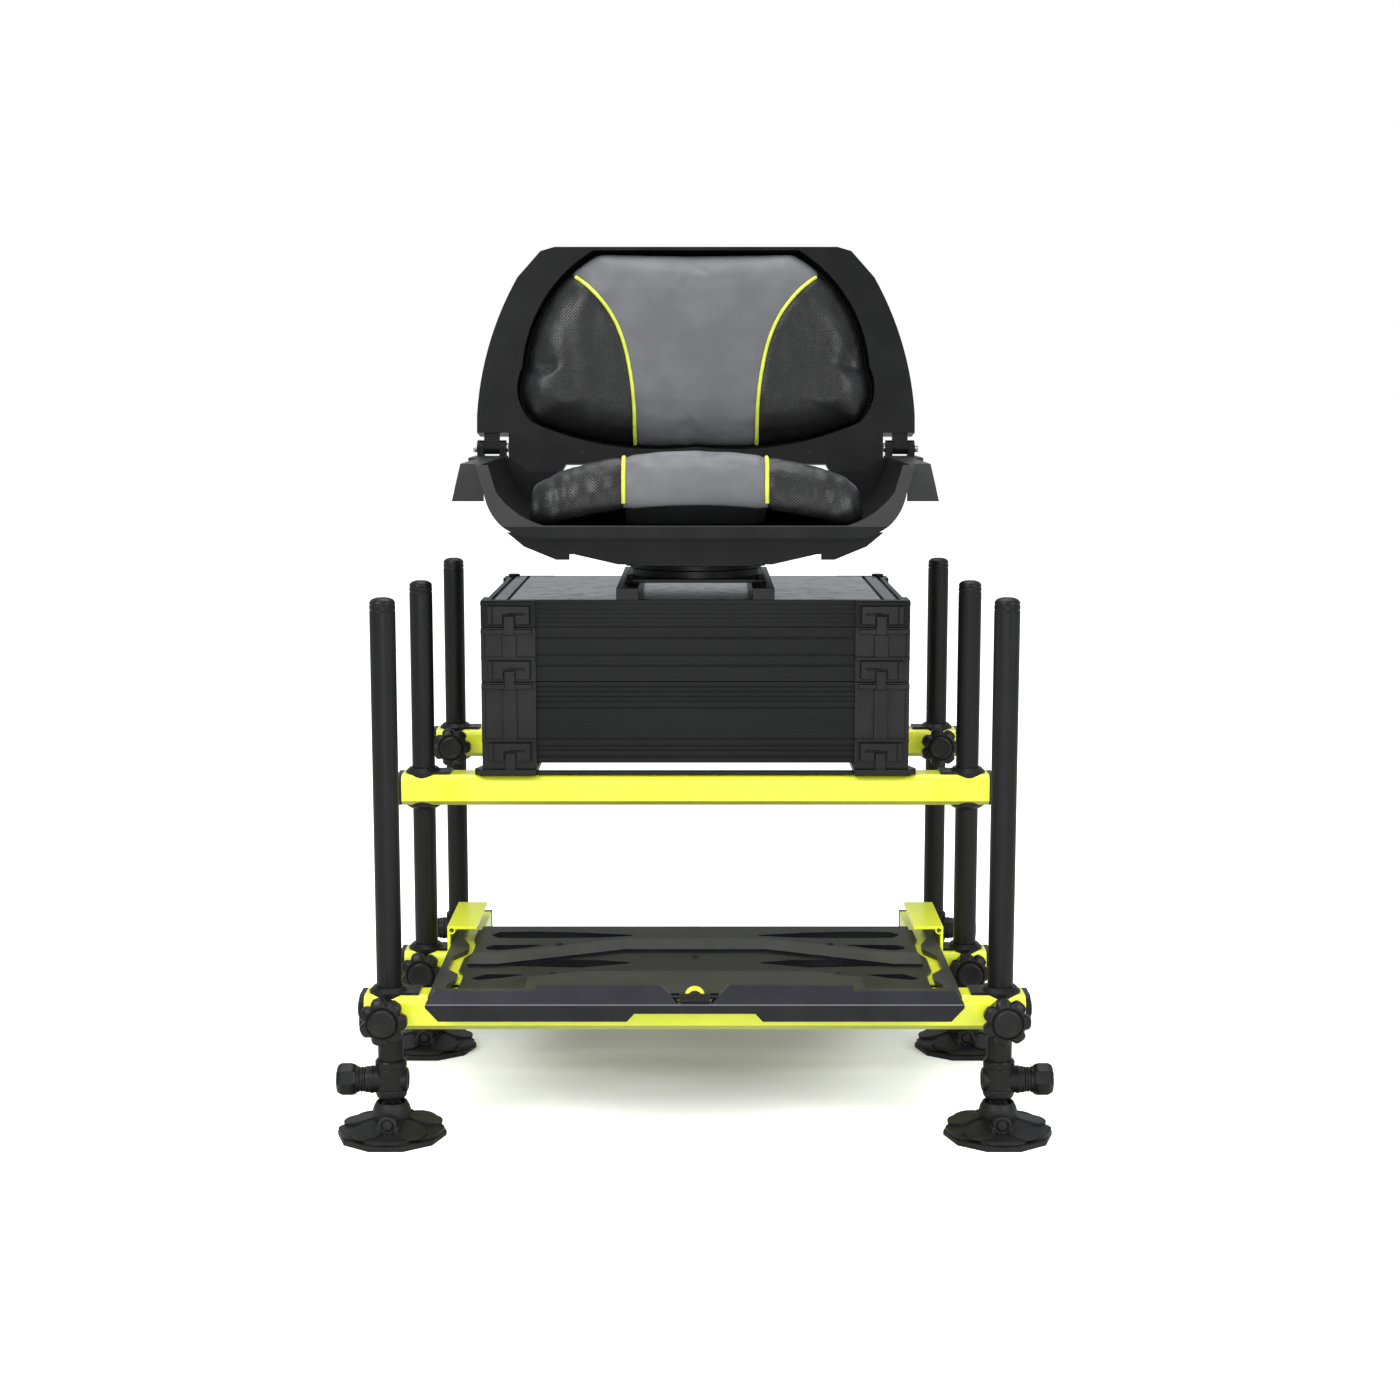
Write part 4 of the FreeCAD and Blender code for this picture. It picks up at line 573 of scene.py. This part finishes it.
NECK_RINGS = [(11.0, 6.0), (25.2, 6.0), (25.2, 12.4), (26.6, 12.4), (27.0, 11.7), (27.8, 11.7), (28.2, 12.4),
              (29.6, 12.4), (30.0, 11.7), (30.8, 11.7), (31.2, 12.4), (33.0, 12.8), (34.4, 12.8)]
HEAD_RINGS = [(33.4, 12.0), (33.8, 14.2), (36.0, 15.8), (39.0, 16.6), (48.6, 16.6), (51.6, 14.8),
              (53.2, 12.2), (53.2, 0.4)]


def tee_knob(node):
    low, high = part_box(node)
    outward = math.copysign(1, low.x + high.x)
    place = (outward * LEG_X, (low.y + high.y) / 2 / MM, TEE_HEIGHT)
    shape = turned(NECK_RINGS, 48)
    join(shape, turned(HEAD_RINGS, 8))
    shape = pointed(shape, (outward, 0, 0), place)
    sharpen(stand_in(node, "_moulded", shape, ["black_plastic"]), 28, 0.5)


for node in sorted(nodes):
    if node.startswith("clamp_knob"):
        clamp_knob(node)
    elif node.startswith("leg_"):
        leg(node)
    elif node.startswith("tee_knob"):
        tee_knob(node)
print("knobs, tubes and tees turned")

# %% [markdown]
# Small fasteners hold the deck and the backrest: black drive rivets with a low dome, and two screws under the
# pad.

# %% Rivets and screws
def studs(name, body, radius, places, along, material):
    shape = bmesh.new()
    rings = [(-1.0, radius), (0.5, radius), (1.1, radius * 0.8), (1.4, radius * 0.45), (1.0, radius * 0.4),
             (1.0, 0.2)]
    for place in places:
        join(shape, pointed(turned(rings, 24), along, place))
    add(name, to_mesh(name, shape), body, [material])


RIVET_ROWS = [(-153.5, -159.0), (-210.5, -217.0), (-276.5, -278.0)]
RIVET_X = 142.0
places = [(side * RIVET_X, outer if side else middle, DECK_TOP)
          for middle, outer in RIVET_ROWS for side in (-1, 0, 1)]
studs("deck_rivets", body_of["footplate_deck"], 3.6, places, (0, 0, 1), "deck_plastic")
SCREW_X, SCREW_HEIGHT = 138.0, 657.0
SCREW_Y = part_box("back_shell")[0].y / MM + 5.0
screws = [(side * SCREW_X, SCREW_Y, SCREW_HEIGHT) for side in (-1, 1)]
studs("backrest_screws", body_of["back_shell"], 3.4, screws, (0, -1, 0.14), "black_plastic")
print(len(places), "rivets and two screws")

# %% [markdown]
# A ball foot has a many-sided plate, two layers of overlapping petals that droop to the rim, a round socket
# over the ball, and a clip with a screw in front. The petals start as discs, are given rings of points by
# insets so that they can bend, and then get their thickness.

# %% A foot
FOOT_RADIUS = 54.0


def petal(shape, turn, root, tip, width, lift, droop, thick):
    middle = (root + tip) / 2
    blade = bmesh.new()
    bmesh.ops.create_circle(blade, cap_ends=True, segments=28, radius=1.0)
    for share in (0.22, 0.28, 0.34):
        bmesh.ops.inset_region(blade, faces=[f for f in blade.faces if len(f.verts) > 4], thickness=share)
    for vert in blade.verts:
        along = vert.co.x * (tip - root) / 2
        taper = 0.72 + 0.28 * vert.co.x
        reach = middle + along
        across = vert.co.y * width / 2 * taper
        crown = lift - droop * (math.hypot(reach, across) / tip) ** 2 - 0.006 * across * across
        vert.co = Vector((reach * MM, across * MM, crown * MM))
    bmesh.ops.recalc_face_normals(blade, faces=blade.faces)
    bmesh.ops.solidify(blade, geom=blade.faces, thickness=thick * MM)
    bmesh.ops.recalc_face_normals(blade, faces=blade.faces)
    blade.transform(Matrix.Rotation(turn, 4, "Z"))
    join(shape, blade)


def block(shape, low, high, bevel):
    part = bmesh.new()
    bmesh.ops.create_cube(part, size=1.0)
    low, high = Vector(low) * MM, Vector(high) * MM
    part.transform(Matrix.Diagonal((*(high - low), 1.0)))
    part.transform(Matrix.Translation((low + high) / 2))
    bmesh.ops.bevel(part, geom=part.edges, offset=bevel * MM, affect="EDGES", segments=2, profile=0.5,
                    material=-1)
    join(shape, part)


def foot(node):
    low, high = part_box(node)
    shape = turned([(0, 50.0), (0, FOOT_RADIUS - 0.8), (0.8, FOOT_RADIUS), (5.0, FOOT_RADIUS),
                    (5.8, FOOT_RADIUS - 1.2), (7.4, 40.0), (10.0, 26.0), (14.0, 17.0)], 10)
    shape.transform(Matrix.Rotation(math.radians(18), 4, "Z"))
    for i in range(5):
        turn = math.radians(54 + 72 * i)
        petal(shape, turn, 10, FOOT_RADIUS - 1.0, 60, 17.5, 6.5, 4.2)
        petal(shape, turn + math.radians(36), 10, FOOT_RADIUS - 3.5, 44, 21.0, 8.5, 4.2)
    dome = ball_rings(BALL_HEIGHT, 19.0)[:11]
    dome += [(BALL_HEIGHT + 11.6, 15.2), (BALL_HEIGHT + 10.8, 13.4), (BALL_HEIGHT + 4, 13.0)]
    join(shape, turned(dome, 48))
    block(shape, (-11, -36.4, 2), (-6.6, -14, 20), 0.9)
    block(shape, (6.6, -36.4, 2), (11, -14, 20), 0.9)
    block(shape, (-8, -33.8, 2), (8, -14, 25), 0.9)
    block(shape, (-3.9, -36.2, 2), (-2.1, -30, 15), 0.4)
    block(shape, (2.1, -36.2, 2), (3.9, -30, 15), 0.4)
    screw = turned([(0, 9.0), (3.2, 9.0), (4.2, 8.0), (4.2, 6.4), (2.8, 6.0), (2.8, 5.0), (4.6, 4.6),
                    (5.0, 4.0), (5.0, 0.3)], 32)
    join(shape, pointed(screw, (0, -1, 0), (0, -31.0, 21.0)))
    middle = (low + high) / 2
    shape.transform(Matrix.Translation((middle.x, middle.y, 0)))
    sharpen(stand_in(node, "_moulded", shape, ["foot_plastic"]), 30, 0.5)


for node in sorted(nodes):
    if node.startswith("foot_"):
        foot(node)
print("six ball feet")

# %% [markdown]
# The pads are foam in a sewn cover. A copy of the measured pad is remeshed into even quads, which cloth
# needs, and blown up a little by pressure from within, so that the cover bulges between its edges as foam
# does. The movement is capped, so that the pad stays in its shell. Seams come after that, because a remesh
# would wipe them out.

# %% Blow up a pad
VOXEL = 4.5 * MM
SEAT_PAD_MIDDLE = 612.0
CROWN_LIFT = 0.12


def pad_mesh(node, shrink):
    shape = merged(node)
    bmesh.ops.triangulate(shape, faces=shape.faces)
    mesh = to_mesh(node + "_pad", shape)
    piece = bpy.data.objects.new(node + "_pad", mesh)
    bpy.context.scene.collection.objects.link(piece)
    remesh = piece.modifiers.new("remesh", "REMESH")
    remesh.mode = "VOXEL"
    remesh.voxel_size = VOXEL
    smooth = piece.modifiers.new("smooth", "SMOOTH")
    smooth.iterations = 4
    smooth.factor = 0.5
    bake(piece)
    for vert in piece.data.vertices:
        vert.co -= vert.normal * shrink * MM
    return piece


def bake(piece):
    # Replaces the mesh by what the modifiers make of it
    graph = bpy.context.evaluated_depsgraph_get()
    made = bpy.data.meshes.new_from_object(piece.evaluated_get(graph), depsgraph=graph)
    piece.modifiers.clear()
    piece.data = made


def inflate(piece, cap, pressure=4.0, frames=20):
    rest = [vert.co.copy() for vert in piece.data.vertices]
    cloth = piece.modifiers.new("cloth", "CLOTH")
    cloth.settings.use_pressure = True
    cloth.settings.uniform_pressure_force = pressure
    cloth.settings.effector_weights.gravity = 0
    scene = bpy.context.scene
    for number in range(1, frames + 1):
        scene.frame_set(number)
    bake(piece)
    scene.frame_set(1)
    for vert, start in zip(piece.data.vertices, rest):
        step = vert.co - start
        if step.length > cap * MM:
            vert.co = start + step.normalized() * cap * MM


seat_pad = pad_mesh("seat_cushion", 2.0)
back_pad = pad_mesh("back_cushion", 1.0)
inflate(seat_pad, 3.5)
inflate(back_pad, 4.5)
for vert in seat_pad.data.vertices:
    # The filling is thickest in the middle of its height, which lifts the top most
    vert.co.z += CROWN_LIFT * max(0.0, vert.co.z - SEAT_PAD_MIDDLE * MM)
print(len(seat_pad.data.vertices), "and", len(back_pad.data.vertices), "points in the pads")

# %% [markdown]
# Seams pull the cover in. Every point of a pad is moved inwards by an amount that falls off with its distance
# from the seam, and noise along the cover gives it soft folds. The panel that a face belongs to also gives
# its finish: grey in the middle and punched black at the sides.

# %% Seam lines
BACK_SEAM = [(672, 74), (717, 75), (757, 80), (794, 89), (824, 103), (848, 122), (864, 141), (876, 160)]
SEAT_SEAM_X = 75.5
ROLL_Y, ROLL_Z, ROLL_RADIUS = -62.0, 622.0, 38.0


def smooth_line(points, at):
    # A curve through the points that keeps its slope from one run to the next
    at = min(max(at, points[0][0]), points[-1][0])
    run = max(i for i in range(len(points) - 1) if points[i][0] <= at)
    (t0, v0), (t1, v1) = points[run], points[run + 1]
    before, after = points[max(run - 1, 0)], points[min(run + 2, len(points) - 1)]
    slope0 = (v1 - before[1]) / (t1 - before[0])
    slope1 = (after[1] - v0) / (after[0] - t0)
    span = t1 - t0
    u = (at - t0) / span
    bend = u * (1 - u) * ((1 - u) * (slope0 * span - (v1 - v0)) - u * (slope1 * span - (v1 - v0)))
    return v0 + (v1 - v0) * u + bend


def seam_gap(point, is_back):
    # Signed distance outwards from the nearest seam, in mm
    edge = smooth_line(BACK_SEAM, point.z / MM) if is_back else SEAT_SEAM_X
    return abs(point.x) / MM - edge


def sew(piece, is_back, depth, reach):
    normals = [vert.normal.copy() for vert in piece.data.vertices]
    for vert, normal in zip(piece.data.vertices, normals):
        gap = seam_gap(vert.co, is_back)
        vert.co -= normal * depth * MM * math.exp(-((gap / reach) ** 2))


ARCH_BASE, ARCH_RISE, ARCH_HALF = 585.0, 27.0, 172.0


def arch(piece):
    # The roll at the front of the seat hangs clear of the pan in the middle
    for vert in piece.data.vertices:
        x, y, z = vert.co / MM
        fade = min(1.0, max(0.0, (20 - y) / 50))
        lowest = ARCH_BASE + ARCH_RISE * max(0.0, 1 - (x / ARCH_HALF) ** 2) * fade
        if z < lowest:
            vert.co.z = (lowest - 0.08 * (lowest - z)) * MM


def crease(piece, is_back):
    # Soft folds that fan out from the seams and from the ends of the pads
    normals = [vert.normal.copy() for vert in piece.data.vertices]
    for vert, normal in zip(piece.data.vertices, normals):
        gap = seam_gap(vert.co, is_back)
        side = 1.0 / (1.0 + math.exp(-gap / 6.0))
        spot = vert.co / MM
        if is_back:
            low = min(1.0, max(0.0, (770 - spot.z) / 80))
            fold = noise.noise(Vector((spot.x * 0.055, spot.y * 0.02, spot.z * 0.018)))
            amount = (1.5 * side + 1.1 * (1 - side) * low) * fold + 0.35 * noise.noise(spot * 0.12)
        else:
            fold = noise.noise(Vector((spot.x * 0.11, spot.y * 0.03, spot.z * 0.035)))
            ends = min(1.0, max(0.0, (abs(spot.x) - 100) / 60))
            amount = 2.6 * side * fold * (0.25 + ends) + 0.3 * noise.noise(spot * 0.14)
        vert.co += normal * amount * MM


def lay_out(piece, is_back):
    # The cover's map in metres. On the seat it follows the roll round and then goes on over the top.
    mesh = piece.data
    cover = mesh.uv_layers.new(name="cover")
    for loop in mesh.loops:
        x, y, z = mesh.vertices[loop.vertex_index].co
        if not is_back:
            turn = math.atan2(z - ROLL_Z * MM, y - ROLL_Y * MM)
            round_roll = (ROLL_Y - ROLL_RADIUS * (turn % math.tau - math.pi / 2)) * MM
            z = y if y > ROLL_Y * MM and z > ROLL_Z * MM else round_roll
        cover.data[loop.index].uv = (x, z)
    inland = mesh.attributes.new("inland", "FLOAT", "POINT")
    low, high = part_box("back_cushion" if is_back else "seat_cushion")
    for vert in mesh.vertices:
        end = (high.x - abs(vert.co.x)) / MM
        if is_back:
            down = (vert.co.z - low.z) / MM
            value = min(end - 26, down - 20) / 14 * max(0.0, -vert.normal.y * 2 - 0.6)
        else:
            value = (end - 20) / 14
        inland.data[vert.index].value = min(1.0, max(0.0, value))


def dress(piece, is_back):
    piece.data.materials.clear()
    piece.data.materials.append(finishes["grey_leather"])
    piece.data.materials.append(finishes["punched_leather"])
    for face in piece.data.polygons:
        face.use_smooth = True
        face.material_index = 1 if seam_gap(face.center, is_back) > 0 else 0


def fit(piece, node, axes):
    # Stretches a pad back to the measured size, because the remesh and its smoothing draw it in a little
    low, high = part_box(node)
    for axis in axes:
        values = [vert.co[axis] for vert in piece.data.vertices]
        first, last = min(values), max(values)
        scale = (high[axis] - low[axis]) / (last - first)
        for vert in piece.data.vertices:
            vert.co[axis] = low[axis] + (vert.co[axis] - first) * scale


def finish_pad(piece, node, is_back):
    fit(piece, node, (0, 2) if is_back else (0,))
    crease(piece, is_back)
    sew(piece, is_back, 2.4, 5.0)
    surface = piece.modifiers.new("surface", "SUBSURF")
    surface.levels = surface.render_levels = 1
    bake(piece)
    lay_out(piece, is_back)
    dress(piece, is_back)
    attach(piece, body_of[node])
    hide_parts(node)


arch(seat_pad)
finish_pad(seat_pad, "seat_cushion", False)
finish_pad(back_pad, "back_cushion", True)

# %% [markdown]
# Piping is a cord sewn into the seam, covered in lime vinyl. Its line has to lie on the finished pad, so each
# point is found by casting a ray at the pad, and a curve with a round section runs through them.

# %% Piping
PIPING_RADIUS = 2.3
PIPING_TOP, PIPING_BOTTOM = 874.0, 660.0
STEPS = 60
pad_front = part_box("seat_cushion")[0].y


def on_pad(pad, origin, direction):
    hit, place, normal, _ = pad.ray_cast(origin, direction)
    return place + normal * 0.9 * MM if hit else None


def cord_along(name, points, body):
    curve = bpy.data.curves.new(name, "CURVE")
    curve.dimensions = "3D"
    curve.bevel_depth = PIPING_RADIUS * MM
    curve.bevel_resolution = 3
    curve.use_fill_caps = True
    line = curve.splines.new("NURBS")
    line.points.add(len(points) - 1)
    for knot, point in zip(line.points, points):
        knot.co = (*point, 1.0)
    line.order_u = 4
    line.use_endpoint_u = True
    holder = bpy.data.objects.new(name, curve)
    bpy.context.scene.collection.objects.link(holder)
    graph = bpy.context.evaluated_depsgraph_get()
    mesh = bpy.data.meshes.new_from_object(holder.evaluated_get(graph), depsgraph=graph)
    bpy.data.objects.remove(holder)
    for face in mesh.polygons:
        face.use_smooth = True
    add(name, mesh, body, ["lime_piping"])


for side, sign in (("left", -1), ("right", 1)):
    points = []
    for step in range(STEPS):
        height = PIPING_TOP - step * (PIPING_TOP - PIPING_BOTTOM) / (STEPS - 1)
        start = Vector((sign * smooth_line(BACK_SEAM, height) * MM, -0.2, height * MM))
        points.append(on_pad(back_pad, start, Vector((0, 1, 0))))
    cord_along(f"back_piping_{side}", [p for p in points if p], "backrest")
    points = []
    for step in range(STEPS):
        turn = math.radians(200 - step * 110 / (STEPS - 1))
        centre = Vector((sign * SEAT_SEAM_X * MM, pad_front + 0.06, 0.632))
        away = Vector((0, math.cos(turn), math.sin(turn)))
        points.append(on_pad(seat_pad, centre + away * 0.15, -away))
    cord_along(f"seat_piping_{side}", [p for p in points if p], "seat")
print("four lengths of piping")

# %% [markdown]
# The photograph is a studio shot on pure white, taken from the front at the height of the seat. The camera
# has the same place and lens, which were found from the legs and feet in the picture.

# %% Camera
camera = bpy.data.objects.new("camera", bpy.data.cameras.new("camera"))
bpy.context.scene.collection.objects.link(camera)
camera.location = (0.005, -2.4665, 0.734)
camera.rotation_euler = (math.radians(82.12), 0, 0)
camera.data.lens = 57.96
camera.data.sensor_width = 36.0
bpy.context.scene.camera = camera
print("camera", round(camera.location.length, 3), "m from the middle of the floor")

# %% [markdown]
# A studio has a white sheet behind and below the object. Here the world and the floor are white for the camera
# alone, and light the object only at a plain level. The floor's glow is weak round the object, so that the soft
# shadow there is partly cast by the lamps and partly painted shadow, and it grows with distance, so that no edge
# of the floor shows.

# %% World and floor
def camera_only(tree, hidden, shown):
    return mix(hidden, shown, Socket(tree).node("LightPath", output="Is Camera Ray"))


world = bpy.data.worlds.new("studio")
bpy.context.scene.world = world
world.use_nodes = True
sky = world.node_tree
feed(sky.nodes["Background"], "Color", camera_only(sky, (0.50, 0.51, 0.53), (1.0, 1.0, 1.0)))

floor_shape = bmesh.new()
bmesh.ops.create_grid(floor_shape, x_segments=1, y_segments=1, size=14.0)
floor = bpy.data.objects.new("floor", to_mesh("floor", floor_shape))
bpy.context.scene.collection.objects.link(floor)
floor_material, floor_shader, floor_place = finish("studio_floor", (0.80, 0.82, 0.74), 0.9,
                                                   Specular_IOR_Level=0.0, Emission_Strength=1.0)
spot = floor_place.node("Mapping", inputs={"Vector": floor_place, "Location": (0, -0.06, 0),
                                           "Scale": (1.0, 1.35, 1.0)})
distance = spot.node("VectorMath", {"operation": "LENGTH"}, {0: spot}, output="Value")
# Near the object the camera glow drops almost to nothing: a painted shadow, stretched front to back, that deepens
# the lamps' own soft shadow
glow_and_painted_shadow = mix((0.06, 0.06, 0.05), (1.0, 1.0, 1.0), distance.step(0.10, 0.62))
feed(floor_shader, "Emission Color", camera_only(floor_material.node_tree, (0.0, 0.0, 0.0), glow_and_painted_shadow))
floor.data.materials.append(floor_material)
floor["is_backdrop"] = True
print("white world and floor")

# %% [markdown]
# Large soft lamps stand where a studio's would: a key and a fill in front, one above, and a weak low one that
# keeps the footplate's front and the feet from going black. They stay plain, so colours come out about as
# written.

# %% Lamps
def lamp(name, place, aim, size, power):
    light = bpy.data.lights.new(name, "AREA")
    light.shape = "DISK"
    light.size = size
    light.energy = power
    holder = bpy.data.objects.new(name, light)
    bpy.context.scene.collection.objects.link(holder)
    holder.location = place
    holder.rotation_euler = (Vector(aim) - Vector(place)).to_track_quat("-Z", "Y").to_euler()


centre = (0, 0, 0.45)
lamp("key", (-1.6, -2.2, 2.4), centre, 1.6, 60)
lamp("fill", (2.0, -2.0, 1.6), centre, 1.8, 36)
lamp("top", (0, 0.4, 3.0), centre, 2.4, 50)
lamp("low", (0, -2.6, 0.6), (0, 0, 0.15), 1.2, 12)

bpy.context.scene.view_settings.view_transform = "Standard"
print("four lamps")

# %% Sizes of the measured and the dressed model
new_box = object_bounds()
for label, box in (("measured box", cad_box), ("dressed box", new_box)):
    print(label, [round(value, 4) for corner in box for value in corner])
